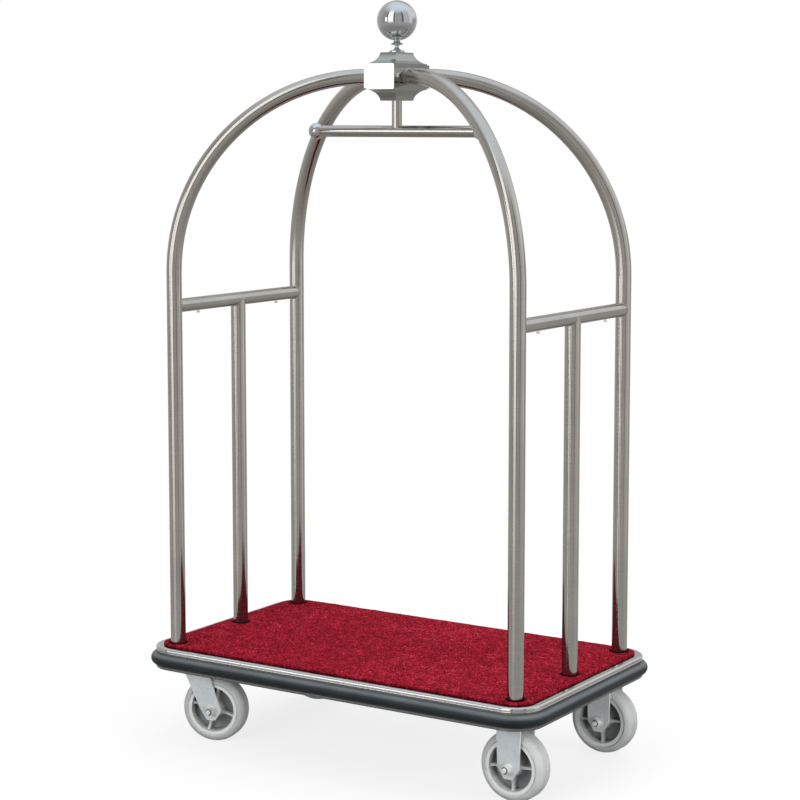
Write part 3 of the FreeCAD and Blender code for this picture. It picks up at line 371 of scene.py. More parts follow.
def plywood_material():
    """Face veneer with long grain and fine fibres."""
    g = Graph("plywood")
    x, y, z = g.split(g.place)
    wander = g.noise(g.at_scale(1.5, 6.0, 6.0), 2.0)
    across = g.plus(g.times(y, 38.0), g.times(wander, 3.0))
    rings = g.noise(g.join(g.times(x, 2.2), across, z), 4.0, 0.6)
    fibre = g.noise(g.at_scale(12.0, 700.0, 700.0), 3.0)
    veneer = g.ramp(rings, [(0.32, (0.31, 0.185, 0.095)), (0.5, (0.47, 0.31, 0.17)),
                            (0.7, (0.58, 0.41, 0.25))])
    shade = g.mix(g.remap(fibre, 0.35, 0.7), (0.82, 0.80, 0.78, 1), (1.05, 1.05, 1.05, 1))
    g.set("Base Color", g.mix(1.0, veneer, shade, "MULTIPLY"))
    g.set("Roughness", g.remap(fibre, 0.3, 0.7, 0.62, 0.8))
    g.set("Normal", g.bump(fibre, 1.5e-4))
    return g.material


CRIMSON_STOPS = [(0.30, (0.075, 0.0012, 0.005)), (0.43, (0.245, 0.0035, 0.013)),
                 (0.54, (0.395, 0.0070, 0.023)), (0.64, (0.540, 0.0200, 0.052)),
                 (0.75, (0.760, 0.1000, 0.160))]
# colour of the painted shade at the carpet's cut edge and round its post holes
RIM_PAINTED_SHADE = (0.040, 0.004, 0.008, 1)
# painted shade: how far the carpet darkens at its cut edge and round its post holes
EDGE_PAINTED_SHADE, HOLE_PAINTED_SHADE = 0.50, 0.85
# painted reflection: the carpet's colour is darker and cooler where polished metal reflects it
MIRRORED_SHADE = (0.36, 0.42, 0.42)
YARN_SCALE, YARN_WANDER = 420.0, 0.004
# shares of each yarn end, of patches and of single fibres in the pile's tone
YARN_SHARE, PATCH_SHARE, FIBRE_SHARE = 0.42, 0.36, 0.22


def carpet_rim_painted_shade(g):
    """How dark the carpet is painted at its cut edge and round its post holes: painted shade."""
    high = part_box("carpet")[1]
    x, y, _ = g.split(g.vector("ABSOLUTE", g.place))
    corner = g.join(g.most(g.minus(x, high.x - CARPET_CORNER), 0.0),
                    g.most(g.minus(y, high.y - CARPET_CORNER), 0.0), 0.0)
    outer = g.fade(g.length(corner), CARPET_CORNER - 0.0040, CARPET_CORNER - 0.0010,
                   0.0, EDGE_PAINTED_SHADE)
    row = g.least(y, g.math("ABSOLUTE", g.minus(y, POST_Y)))
    away = g.length(g.join(g.minus(x, POST_X), row, 0.0))
    holes = g.fade(away, CARPET_HOLE + 0.006, CARPET_HOLE + 0.001, 0.0, HOLE_PAINTED_SHADE)
    return g.most(outer, holes)


def carpet_material():
    """Crimson cut pile: every yarn end has its own tone, with painted shade at the roots between
    them.
    """
    g = Graph("carpet_pile", Roughness=0.95, Sheen_Weight=0.02, Sheen_Roughness=0.45,
              Sheen_Tint=(1.0, 0.35, 0.42, 1), Specular_IOR_Level=0.06)
    jitter = g.noise(g.at_scale(240.0), 2.0)
    wander = g.scaled(g.join(jitter, jitter, 0.0), (YARN_WANDER,) * 3)
    warped = g.vector("ADD", g.place, wander)
    flat = g.scaled(warped, (1.0, 1.0, 0.25))
    yarn = g.node("TexVoronoi", {"Vector": flat, "Scale": YARN_SCALE})
    own = g.split(yarn.outputs["Color"])[0]
    root = yarn.outputs["Distance"]
    fibre = g.noise(g.at_scale(1500.0, 1500.0, 500.0), 2.0)
    patch = g.noise(g.at_scale(42.0, 42.0, 10.0), 4.0, 0.6)
    wide = g.noise(g.at_scale(5.0, 5.0, 2.0), 2.0)
    tone = g.plus(g.times(own, YARN_SHARE), g.times(patch, PATCH_SHARE))
    tone = g.plus(tone, g.times(fibre, FIBRE_SHARE))
    tone = g.plus(tone, g.remap(wide, 0.3, 0.7, -0.03, 0.03))
    # painted shade in the gaps between yarn ends
    tone = g.minus(tone, g.remap(root, 0.35, 0.75, 0.0, 0.14))
    # painted shade at the cut edge and round the post holes
    pile = g.mix(carpet_rim_painted_shade(g), g.ramp(tone, CRIMSON_STOPS), RIM_PAINTED_SHADE)
    # painted reflection: a darker, cooler carpet in glossy rays only
    mirrored = g.node("LightPath").outputs["Is Glossy Ray"]
    g.set("Base Color", g.mix(mirrored, pile, g.scaled(pile, MIRRORED_SHADE)))
    height = g.minus(g.times(fibre, 0.5), root)
    g.set("Normal", g.bump(height, 0.0011, 0.9))
    return g.material


def wheel_frame(g, centre, turn):
    """A wheel's own coordinates: distance from the axle, distance along it, and all three."""
    shifted = g.vector("SUBTRACT", g.place, tuple(centre))
    local = g.node("VectorRotate", {"Vector": shifted, "Angle": -turn},
                   rotation_type="Z_AXIS").outputs[0]
    x, y, z = g.split(local)
    radius = g.math("SQRT", g.plus(g.times(x, x), g.times(z, z)))
    return radius, y, local


def tyre_material(name, centre, turn):
    """Grey non-marking tread: a fine parting line, scuffed crown, soft cloudy tone."""
    g = Graph("tyre_" + name)
    radius, along, local = wheel_frame(g, centre, turn)
    cloud = g.noise(g.scaled(local, (28.0,) * 3), 4.0, 0.55)
    fine = g.noise(g.scaled(local, (700.0,) * 3), 2.0)
    scuff = g.noise(g.scaled(local, (60.0, 400.0, 60.0)), 4.0, 0.65)
    crown = g.fade(radius, WHEEL_RADIUS - 0.0035, WHEEL_RADIUS - 0.0001)
    clean = g.ramp(cloud, [(0.3, (0.42, 0.435, 0.43)), (0.7, (0.49, 0.505, 0.50))])
    dirt = g.times(g.remap(scuff, 0.45, 0.75), g.times(crown, 0.45))
    seam = g.math("COMPARE", along, 0.0, 0.0004)
    g.set("Base Color", g.mix(dirt, clean, (0.30, 0.29, 0.27, 1)))
    g.set("Roughness", g.remap(g.plus(cloud, g.times(crown, 0.3)), 0.3, 1.0, 0.34, 0.55))
    g.set("Normal", g.bump(g.plus(g.times(fine, 0.25), seam), 1.2e-4, 0.8))
    return g.material


def core_material(name, centre, turn):
    """Moulded grey wheel: painted shade in the deep bays, paler rim ring, thin tan edges on the
    ring.
    """
    g = Graph("wheel_core_" + name)
    radius, along, local = wheel_frame(g, centre, turn)
    cloud = g.noise(g.scaled(local, (45.0,) * 3), 4.0)
    fine = g.noise(g.scaled(local, (900.0,) * 3), 2.0)
    raised = g.ramp(cloud, [(0.3, (0.42, 0.435, 0.435)), (0.7, (0.50, 0.515, 0.515))])
    # painted shade: the deeper a point lies in the wheel, the darker it is painted
    recess_painted_shade = g.fade(g.math("ABSOLUTE", along), 0.021, 0.006, 0.0, 0.85)
    body = g.mix(recess_painted_shade, raised, (0.115, 0.120, 0.122, 1))
    ring = g.fade(radius, RIM_INNER - 0.0012, RIM_INNER - 0.0002)
    pale = g.mix(ring, body, (0.64, 0.655, 0.65, 1))
    inner_line = g.math("COMPARE", radius, RIM_INNER - 0.0002, 0.0007)
    outer_line = g.math("COMPARE", radius, RIM_OUTER - 0.0004, 0.0008)
    line = g.most(inner_line, outer_line)
    g.set("Base Color", g.mix(g.times(line, 0.7), pale, (0.33, 0.27, 0.21, 1)))
    g.set("Roughness", g.remap(cloud, 0.3, 0.7, 0.36, 0.52))
    g.set("Normal", g.bump(fine, 5e-5))
    return g.material


def nylon_material():
    """Blue-black nylon ring of a lock nut."""
    g = Graph("nylon_ring", Roughness=0.4)
    speck = g.noise(g.at_scale(1200.0), 2.0)
    g.set("Base Color", g.ramp(speck, [(0.3, (0.012, 0.028, 0.065)),
                                       (0.7, (0.030, 0.060, 0.120))]))
    g.set("Normal", g.bump(speck, 3e-5))
    return g.material


# ---- mesh helpers

def new_object(name, verts, faces, material):
    """A smooth-shaded mesh object; material is one material or a list of them."""
    mesh = bpy.data.meshes.new(name)
    mesh.from_pydata([tuple(v) for v in verts], [], faces)
    mesh.validate()
    obj = bpy.data.objects.new(name, mesh)
    bpy.context.scene.collection.objects.link(obj)
    for one in material if isinstance(material, list) else [material]:
        mesh.materials.append(one)
    mesh.polygons.foreach_set("use_smooth", [True] * len(mesh.polygons))
    mesh.update()
    return obj


# ---- carpet

# the carpet's mesh: grid step, how the pile's top lies, and how it ends at a cut edge
GRID_STEP = 0.004
GRID_JITTER = 0.0009
PILE_SINK, TUFT_HEIGHT, WAVE_HEIGHT = 0.0008, 0.00036, 0.00012
PILE_LOWEST, PILE_HIGHEST = -0.0035, 0.0006
EDGE_WIDTH, EDGE_DROP = 0.006, 0.0010
EDGE_LEAN = (0.0003, 0.0006)
EDGE_DEPTH = (0.0024, 0.0036)
BACKING_GAP = 0.0001


def inside_carpet(x, y, half_x, half_y):
    """Signed distances to the carpet's outline and to its post holes: negative inside."""
    qx = np.abs(x) - (half_x - CARPET_CORNER)
    qy = np.abs(y) - (half_y - CARPET_CORNER)
    outline = (np.hypot(np.maximum(qx, 0), np.maximum(qy, 0))
               + np.minimum(np.maximum(qx, qy), 0) - CARPET_CORNER)
    hole = np.full(np.shape(x), -1.0)
    for px in (-POST_X, POST_X):
        for py in POST_ROWS:
            hole = np.maximum(hole, CARPET_HOLE - np.hypot(x - px, y - py))
    return outline, hole


def blurred(field, times):
    for _ in range(times):
        for axis in (0, 1):
            field = (0.25 * np.roll(field, 1, axis) + 0.5 * field
                     + 0.25 * np.roll(field, -1, axis))
    return field


def nearest_post(x, y):
    return math.copysign(POST_X, x), min(POST_ROWS, key=lambda row: abs(row - y))


def past_corner(x, y, half_x, half_y):
    """How far a point is past the middles of the carpet's round corners, along X and Y."""
    return abs(x) - (half_x - CARPET_CORNER), abs(y) - (half_y - CARPET_CORNER)


def onto_outline(x, y, by_hole, half_x, half_y):
    """A point of the grid's ragged border, moved onto a post hole or a round corner."""
    if by_hole:
        px, py = nearest_post(x, y)
        away = math.hypot(x - px, y - py)
        return px + (x - px) * CARPET_HOLE / away, py + (y - py) * CARPET_HOLE / away
    qx, qy = past_corner(x, y, half_x, half_y)
    if qx > 0 and qy > 0:
        away = math.hypot(qx, qy)
        return (math.copysign(half_x - CARPET_CORNER + qx * CARPET_CORNER / away, x),
                math.copysign(half_y - CARPET_CORNER + qy * CARPET_CORNER / away, y))
    return x, y


def outward(x, y, by_hole, half_x, half_y):
    """The direction out of the carpet at a point of its border."""
    if by_hole:
        px, py = nearest_post(x, y)
        return -Vector((x - px, y - py, 0)).normalized()
    qx, qy = past_corner(x, y, half_x, half_y)
    return Vector((math.copysign(max(qx, 0), x), math.copysign(max(qy, 0), y), 0)).normalized()


def carpet_grid(half_x, half_y):
    """Grid points over the carpet, which of them are used, its faces and its open edges."""
    nx, ny = round(2 * half_x / GRID_STEP), round(2 * half_y / GRID_STEP)
    gx, gy = np.meshgrid(np.linspace(-half_x, half_x, nx + 1),
                         np.linspace(-half_y, half_y, ny + 1), indexing="ij")
    outline, hole = inside_carpet((gx[:-1, :-1] + gx[1:, 1:]) / 2,
                                  (gy[:-1, :-1] + gy[1:, 1:]) / 2, half_x, half_y)
    keep = (outline < 0) & (hole < 0)
    used = np.zeros(gx.shape, bool)
    for i in (0, 1):
        for j in (0, 1):
            used[i:nx + i, j:ny + j] |= keep
    number = np.full(gx.shape, -1)
    number[used] = np.arange(used.sum())
    faces = [(number[i, j], number[i + 1, j], number[i + 1, j + 1], number[i, j + 1])
             for i, j in zip(*np.nonzero(keep))]
    sides = {}
    for face in faces:
        for a, b in zip(face, face[1:] + face[:1]):
            if (b, a) in sides:
                del sides[(b, a)]
            else:
                sides[(a, b)] = True
    return gx, gy, used, faces, sides


def pile_heights(rng, shape, used, edge, top):
    """Height of each point of the pile: tufts, slow waves, and a rounded drop at the edges."""
    tufts = rng.normal(size=shape)
    tufts = (tufts + 0.8 * blurred(rng.normal(size=shape), 1) / 0.4)[used]
    waves = (blurred(rng.normal(size=shape), 12) / 0.08)[used]
    tufts *= 0.25 + 0.75 * edge
    drop = EDGE_DROP * (1 - np.sqrt(np.clip(1 - (1 - edge) ** 2, 0, 1)))
    z = top - PILE_SINK + TUFT_HEIGHT * tufts + WAVE_HEIGHT * waves - drop
    return np.clip(z, top + PILE_LOWEST, top + PILE_HIGHEST)


def carpet_piece():
    low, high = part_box("carpet")
    half = (high.x, high.y)
    gx, gy, used, faces, sides = carpet_grid(*half)
    x, y = gx[used], gy[used]
    rim = np.zeros(len(x), bool)
    rim[[a for a, _ in sides]] = True
    border = np.nonzero(rim)[0]
    by_hole = inside_carpet(x, y, *half)[1] > -GRID_STEP
    for n in border:
        x[n], y[n] = onto_outline(x[n], y[n], by_hole[n], *half)

    rng = np.random.default_rng(11)
    outline, hole = inside_carpet(x, y, *half)
    edge = np.clip(-np.maximum(outline, hole) / EDGE_WIDTH, 0, 1)
    z = pile_heights(rng, gx.shape, used, edge, high.z)
    inner = ~rim
    x[inner] += rng.uniform(-GRID_JITTER, GRID_JITTER, inner.sum())
    y[inner] += rng.uniform(-GRID_JITTER, GRID_JITTER, inner.sum())

    # pile leans out a little over the cut edge, then the edge goes down to the board
    floor_z = low.z + BACKING_GAP
    middle, foot = [], []
    for n in border:
        out = outward(x[n], y[n], hole[n] > -GRID_STEP, *half) * rng.uniform(*EDGE_LEAN)
        middle.append((x[n] + out.x, y[n] + out.y, high.z - rng.uniform(*EDGE_DEPTH)))
        foot.append((x[n], y[n], floor_z))
    count, rows = len(x), len(border)
    place = {n: k for k, n in enumerate(border)}
    skirt = []
    for a, b in sides:
        ma, mb = count + place[a], count + place[b]
        skirt.append((b, a, ma, mb))
        skirt.append((mb, ma, ma + rows, mb + rows))

    # the backing under the pile, on the same grid
    base = count + 2 * rows
    inner_of = {n: k for k, n in enumerate(np.nonzero(inner)[0])}
    backing = np.stack([x[inner], y[inner], np.full(inner.sum(), floor_z)], 1)
    under = []
    for face in faces:
        corner = [count + rows + place[n] if rim[n] else base + inner_of[n] for n in face]
        under.append(tuple(reversed(corner)))
    verts = np.concatenate([np.stack([x, y, z], 1), np.array(middle), np.array(foot), backing])
    return new_object("carpet_pile", verts, faces + skirt + under, carpet_material())


# ---- wheels

def axle_spot(side, row):
    """Axle middle and turn of a caster at rest."""
    y = ROWS[row] * CASTER_Y
    if side == "right":
        return Vector((RIGID_X, y, WHEEL_RADIUS)), 0.0
    x = SWIVEL_X + TRAIL * math.cos(REST_TURN)
    return Vector((x, y + TRAIL * math.sin(REST_TURN), WHEEL_RADIUS)), REST_TURN


def stand_at(obj, centre, turn):
    """Moves a mesh made round the axle to its wheel."""
    obj.data.transform(Matrix.Translation(centre) @ Matrix.Rotation(turn, 4, "Z"))
    return obj


def smooth_max(values, blend):
    """Highest of several heights, with a fillet of about blend where they meet."""
    top = max(values)
    return top + blend * math.log(sum(math.exp((v - top) / blend) for v in values))


def step_between(value, low, high):
    """0 below low, 1 above high, and a smooth step between them."""
    t = min(max((value - low) / (high - low), 0.0), 1.0)
    return t * t * (3 - 2 * t)


# the moulded core: radii, heights above its middle plane, and how softly its parts meet
BORE, BOSS, BOSS_FOOT = 0.0130, 0.0170, 0.0285
WALL_FOOT = 0.0520
WEB_HEIGHT, BOSS_HEIGHT, BOSS_FALL = 0.003, 0.027, 0.024
RIB_HEIGHT, RIB_HOLLOW, RIB_FLANK = 0.0215, 0.0030, 0.0022
RIB_HALF, RIB_BOSS_FLARE, RIB_RIM_FLARE = 0.0021, 0.0062, 0.0026
CORE_FILLET = 0.0006
RIB_COLUMNS = (-1.9, -1.45, -1.0, -0.6, 0.0, 0.6, 1.0, 1.45, 1.9)
RIB_COLUMN_STEP = 0.0025
BAY_COLUMNS = 11


def rib_half(radius):
    """Half thickness of a spoke, flared at the boss and a little at the rim."""
    return (RIB_HALF + RIB_BOSS_FLARE * math.exp(-(radius - 0.019) / 0.0085)
            + RIB_RIM_FLARE * math.exp(-(RIM_INNER - radius) / 0.0035))


def core_height(radius, lateral):
    """Height above the wheel's middle plane at a distance from the axle and a spoke's line."""
    if radius >= RIM_INNER:
        return RIM_HALF
    if radius <= BOSS:
        return BOSS_HEIGHT
    boss = BOSS_HEIGHT - BOSS_FALL * step_between(radius, BOSS - 0.001, BOSS_FOOT)
    wall = WEB_HEIGHT + (RIM_HALF - WEB_HEIGHT) * step_between(radius, WALL_FOOT, RIM_INNER)
    ridge = RIB_HEIGHT - RIB_HOLLOW * math.sin(math.pi * (radius - BOSS) / (RIM_INNER - BOSS))
    half = rib_half(radius)
    rib = WEB_HEIGHT + (ridge - WEB_HEIGHT) * (1 - step_between(abs(lateral), half,
                                                                half + RIB_FLANK))
    return min(smooth_max([WEB_HEIGHT, boss, wall, rib], CORE_FILLET), BOSS_HEIGHT)


def core_columns(radius):
    """Angles round one quarter of the wheel, and how far each is from the spoke's line."""
    half = rib_half(radius)
    across = [c * half if abs(c) <= 1
              else math.copysign(half + (abs(c) - 1) * RIB_COLUMN_STEP, c)
              for c in RIB_COLUMNS]
    angles = [math.asin(max(-0.98, min(0.98, a / radius))) for a in across]
    start, end = angles[-1], math.pi / 2 + angles[0]
    bay = [start + (end - start) * (k + 1) / (BAY_COLUMNS + 1) for k in range(BAY_COLUMNS)]
    far = 1.0
    return list(zip(angles, across)) + [(angle, far) for angle in bay]


def core_piece(name, side, row, material):
    """A wheel core: two moulded sides on rings of points, joined at the bore and the seat."""
    centre, turn = axle_spot(side, row)
    radii = ([BORE, BORE + 0.0006, BOSS - 0.0006, BOSS]
             + [BOSS + 0.0006 + 0.0013 * k for k in range(9)]
             + [0.031 + 0.0022 * k for k in range(9)]
             + [0.0500, 0.0512, 0.0522, 0.0532, 0.0541, 0.0549, 0.0556, RIM_INNER,
                RIM_INNER + 0.0006, RIM_OUTER - 0.0010, RIM_OUTER - 0.0004])
    rounding = {0: -0.0006, 3: -0.0005, len(radii) - 4: -0.0005, len(radii) - 1: -0.0006}
    columns = 4 * (len(RIB_COLUMNS) + BAY_COLUMNS)
    verts, faces = [], []
    for way in (1, -1):
        for number, radius in enumerate(radii):
            for quarter in range(4):
                for angle, lateral in core_columns(radius):
                    around = angle + quarter * math.pi / 2 - SPOKE_TURN[side]
                    height = core_height(radius, lateral) + rounding.get(number, 0.0)
                    verts.append((radius * math.cos(around), way * height,
                                  radius * math.sin(around)))
    for way in range(2):
        first = way * len(radii) * columns
        for n in range(len(radii) - 1):
            for k in range(columns):
                a = first + n * columns + k
                b = first + n * columns + (k + 1) % columns
                quad = (a, b, b + columns, a + columns)
                faces.append(quad if way else quad[::-1])
    # bore and outer seat join the two sides
    other = len(radii) * columns
    last = (len(radii) - 1) * columns
    for k in range(columns):
        j = (k + 1) % columns
        faces.append((k, j, other + j, other + k))
        faces.append((last + j, last + k, other + last + k, other + last + j))
    obj = stand_at(new_object(name, verts, faces, material), centre, turn)
    sharpen(obj, 38)
    return obj


def sharpen(obj, degrees):
    """Smooth shading that breaks at edges sharper than this."""
    bm = bmesh.new()
    bm.from_mesh(obj.data)
    bmesh.ops.recalc_face_normals(bm, faces=bm.faces)
    limit = math.radians(degrees)
    for edge in bm.edges:
        if len(edge.link_faces) == 2 and edge.calc_face_angle(0.0) > limit:
            edge.smooth = False
    bm.to_mesh(obj.data)
    bm.free()


# ---- fasteners

HEX_SEGMENTS = 48
# how far a hexagon's ring reaches, in half widths over flats: at its face, half way through
# the chamfer, and past it, where only the flats limit it
HEX_FACE, HEX_HALF_WAY, HEX_FULL = 0.955, 1.03, 1.2
THREAD_PITCH, THREAD_STEPS, THREAD_DEPTH = 0.00175, 6, 0.0007
THREAD_TIP = 0.0012
# the axle's lock nut, washers and bolt head
AXLE_FLAT, NUT_END, HEAD_END = 0.0101, 0.0125, 0.0070
NUT_WASHER_HOLE, NUT_WASHER_RADIUS, NUT_WASHER_THICK = 0.0062, 0.0136, 0.0025
HEAD_WASHER_RADIUS, HEAD_WASHER_THICK = 0.0115, 0.0008
NYLON_INNER, NYLON_OUTER = 0.0055, 0.0084
BOLT_TIP = 0.0219
# the caster plates' bolts: their washers and heads
PLATE_WASHER_HOLE, PLATE_WASHER_RADIUS, PLATE_WASHER_THICK = 0.0041, 0.0082, 0.0009
PLATE_HEAD_END, PLATE_FLAT = 0.0055, 0.0063


def hex_radius(angle, flat):
    """Distance from a hexagon's middle to its edge, where flat is half the width over flats."""
    return flat / math.cos((angle + math.pi / 6) % (math.pi / 3) - math.pi / 6)


def hex_rings(start, end, flat, chamfer=0.0010):
    """Rings of a hexagon with its corners chamfered at both ends."""
    way = 1 if end > start else -1
    inset = ((0.0, HEX_FACE), (chamfer * 0.5, HEX_HALF_WAY), (chamfer, HEX_FULL))
    return ([(start + way * depth, flat, flat * reach) for depth, reach in inset]
            + [(end - way * depth, flat, flat * reach) for depth, reach in inset[::-1]])


def fastener(parts):
    """Closed solids of revolution, hexagons and threads round Y, joined into one mesh.

    A part is (rings, material index); a ring is (along, flat or None, widest radius)."""
    verts, faces, marks = [], [], []
    for rings, mark in parts:
        first = len(verts)
        for along, flat, widest in rings:
            for k in range(HEX_SEGMENTS):
                angle = 2 * math.pi * k / HEX_SEGMENTS
                r = widest if flat is None else min(widest, hex_radius(angle, flat))
                verts.append((r * math.cos(angle), along, r * math.sin(angle)))
        for n in range(len(rings) - 1):
            for k in range(HEX_SEGMENTS):
                a = first + n * HEX_SEGMENTS + k
                b = first + n * HEX_SEGMENTS + (k + 1) % HEX_SEGMENTS
                faces.append((a, b, b + HEX_SEGMENTS, a + HEX_SEGMENTS))
                marks.append(mark)
        last = first + (len(rings) - 1) * HEX_SEGMENTS
        faces.append(tuple(reversed(range(first, first + HEX_SEGMENTS))))
        faces.append(tuple(range(last, last + HEX_SEGMENTS)))
        marks += [mark, mark]
    return verts, faces, marks


def ring_of(inner, outer, near, far, soft=0.0003):
    """Rings of a washer: out along the near face, over the rim, back along the far face."""
    way = 1 if far > near else -1
    return [(near, None, inner), (near, None, outer - soft), (near + way * soft, None, outer),
            (far - way * soft, None, outer), (far, None, outer - soft), (far, None, inner)]


def thread_rings(start, end, radius):
    """A threaded shank as close rings, rounded at the crest, with a chamfered tip."""
    way = 1 if end > start else -1
    count = int(abs(end - start) / (THREAD_PITCH / THREAD_STEPS))
    rings = []
    for n in range(count + 1):
        along = start + way * n * THREAD_PITCH / THREAD_STEPS
        wave = 0.5 + 0.5 * math.cos(2 * math.pi * n / THREAD_STEPS)
        tip = max(0.0, 1 - abs(end - along) / THREAD_TIP)
        rings.append((along, None, radius - THREAD_DEPTH * (1 - wave) - THREAD_TIP * tip))
    return rings


def axle_fastener_parts():
    """Lock nut, washer and threaded end on the -Y side; bolt head on the +Y side."""
    face = -LEG_OUTER
    seat = face - NUT_WASHER_THICK
    nut_end = face - NUT_END
    head_seat = LEG_OUTER + HEAD_WASHER_THICK
    shank = AXLE_RADIUS - 0.0002
    return [
        (ring_of(NUT_WASHER_HOLE, NUT_WASHER_RADIUS, face, seat), 0),
        (hex_rings(seat, nut_end, AXLE_FLAT), 0),
        ([(nut_end, None, 0.0103), (nut_end - 0.0022, None, 0.0101),
          (nut_end - 0.0032, None, 0.0095), (nut_end - 0.0038, None, 0.0086)], 0),
        (ring_of(NYLON_INNER, NYLON_OUTER, nut_end - 0.0032, nut_end - 0.0042), 1),
        (thread_rings(nut_end - 0.0030, face - BOLT_TIP, AXLE_RADIUS), 0),
        ([(face + 0.001, None, shank), (LEG_OUTER - 0.001, None, shank)], 0),
        (ring_of(NUT_WASHER_HOLE, HEAD_WASHER_RADIUS, LEG_OUTER, head_seat), 0),
        (hex_rings(head_seat, LEG_OUTER + HEAD_END, AXLE_FLAT), 0),
    ]


def axle_fasteners(name, spots, materials):
    """The axle bolts with their nuts and washers at some wheels, as one piece."""
    verts, faces, marks = [], [], []
    for centre, turn in spots:
        own_verts, own_faces, own_marks = fastener(axle_fastener_parts())
        move = Matrix.Translation(centre) @ Matrix.Rotation(turn, 4, "Z")
        faces += [tuple(i + len(verts) for i in face) for face in own_faces]
        verts += [move @ Vector(point) for point in own_verts]
        marks += own_marks
    obj = new_object(name, verts, faces, materials)
    obj.data.polygons.foreach_set("material_index", marks)
    sharpen(obj, 30)
    return obj


# ---- welds and collars

BEAD_SIDES, BEAD_SWELL = 8, 0.16
RING_POINTS = 96
# radius of the weld beads, and how many ripples each has
RAIL_BEAD, RAIL_RIPPLES, POST_RIPPLES = 0.0014, 24, 28
STEM_BEAD, STEM_RIPPLES = 0.0012, 20
# the arch collars: how far out of the hub, and the radius there
COLLAR_SECTIONS = [(0.0, 0.0203), (0.0125, 0.0203), (0.0137, 0.0199), (0.0142, 0.0191)]
COLLAR_POINTS = 72


def bead(path, radius, ripples):
    """A closed weld bead along a ring of points, with the ripples of a hand-laid weld."""
    count = len(path)
    verts, faces = [], []
    for n, point in enumerate(path):
        along = (path[(n + 1) % count] - path[n - 1]).normalized()
        out = point - sum(path, Vector()) / count
        out = (out - along * out.dot(along)).normalized()
        other = along.cross(out)
        swell = radius * (1 + BEAD_SWELL * math.cos(2 * math.pi * ripples * n / count))
        for k in range(BEAD_SIDES):
            angle = 2 * math.pi * k / BEAD_SIDES
            verts.append(point + (out * math.cos(angle) + other * math.sin(angle)) * swell)
    for n in range(count):
        m = (n + 1) % count
        for k in range(BEAD_SIDES):
            j = (k + 1) % BEAD_SIDES
            faces.append((n * BEAD_SIDES + k, n * BEAD_SIDES + j,
                          m * BEAD_SIDES + j, m * BEAD_SIDES + k))
    return verts, faces


def saddle_ring(origin, along, across, up, small, large):
    """Where a small tube, running along, meets the side of a large tube that runs up."""
    ring = []
    for n in range(RING_POINTS):
        angle = 2 * math.pi * n / RING_POINTS
        side = small * math.cos(angle)
        depth = math.sqrt(large * large - side * side)
        ring.append(origin + across * side + up * (small * math.sin(angle)) + along * depth)
    return ring


def joined(name, shells, material, degrees=50):
    """Several closed shells as one piece."""
    verts, faces = [], []
    for own_verts, own_faces in shells:
        faces += [tuple(i + len(verts) for i in face) for face in own_faces]
        verts += own_verts
    obj = new_object(name, verts, faces, material)
    sharpen(obj, degrees)
    return obj


def post_top_ring(top):
    """Where a middle post, as wide as the rail or wider, meets the rail from below."""
    ring = []
    for n in range(RING_POINTS):
        angle = 2 * math.pi * n / RING_POINTS
        x = TUBE_RADIUS * math.cos(angle)
        drop = math.sqrt(max(RAIL_RADIUS ** 2 - x ** 2, 0.0))
        ring.append(top + Vector((x, TUBE_RADIUS * math.sin(angle), -drop)))
    return ring


def cage_welds():
    """Beads round the rail stubs, the middle posts' tops and the hanger stem's foot."""
    x_way, y_way, z_way = Vector((1, 0, 0)), Vector((0, 1, 0)), Vector((0, 0, 1))
    shells = []
    for side in (-1, 1):
        for end in (-1, 1):
            post = Vector((side * POST_X, end * POST_Y, RAIL_Z))
            ring = saddle_ring(post, y_way * -end, x_way, z_way, RAIL_RADIUS, TUBE_RADIUS)
            shells.append(bead(ring, RAIL_BEAD, RAIL_RIPPLES))
        ring = post_top_ring(Vector((side * POST_X, 0, RAIL_Z)))
        shells.append(bead(ring, RAIL_BEAD, POST_RIPPLES))
    bar = Vector((0, 0, HANGER_Z))
    ring = saddle_ring(bar, z_way, y_way, x_way, STEM_RADIUS, HANGER_RADIUS)
    shells.append(bead(ring, STEM_BEAD, STEM_RIPPLES))
    return joined("cage_welds", shells, plate_steel)


def collar(way_x, way_y):
    """One sleeve: its inner end lies on the hub's face, its outer end is square to the arch."""
    angle = math.atan2(way_y * POST_Y, way_x * POST_X)
    axis = Vector((math.cos(angle), math.sin(angle), 0))
    across = Vector((-axis.y, axis.x, 0))
    count = COLLAR_POINTS
    verts, faces = [], []
    for out, radius in COLLAR_SECTIONS:
        for n in range(count):
            turn = 2 * math.pi * n / count
            side = radius * math.cos(turn)
            start = (way_x * HUB_HALF_X - across.x * side) / axis.x
            height = Vector((0, 0, ARCH_TOP_Z + radius * math.sin(turn)))
            verts.append(axis * (start + out) + across * side + height)
    for n in range(len(COLLAR_SECTIONS) - 1):
        for k in range(count):
            j = (k + 1) % count
            faces.append((n * count + k, n * count + j,
                          (n + 1) * count + j, (n + 1) * count + k))
    faces.append(tuple(reversed(range(count))))
    faces.append(tuple(range(len(verts) - count, len(verts))))
    return verts, faces


def arch_collars():
    """A thin sleeve round each arch where it enters the hub, with a turned outer edge."""
    shells = [collar(way_x, way_y) for way_x in (-1, 1) for way_y in (-1, 1)]
    return joined("arch_collars", shells, plate_steel)


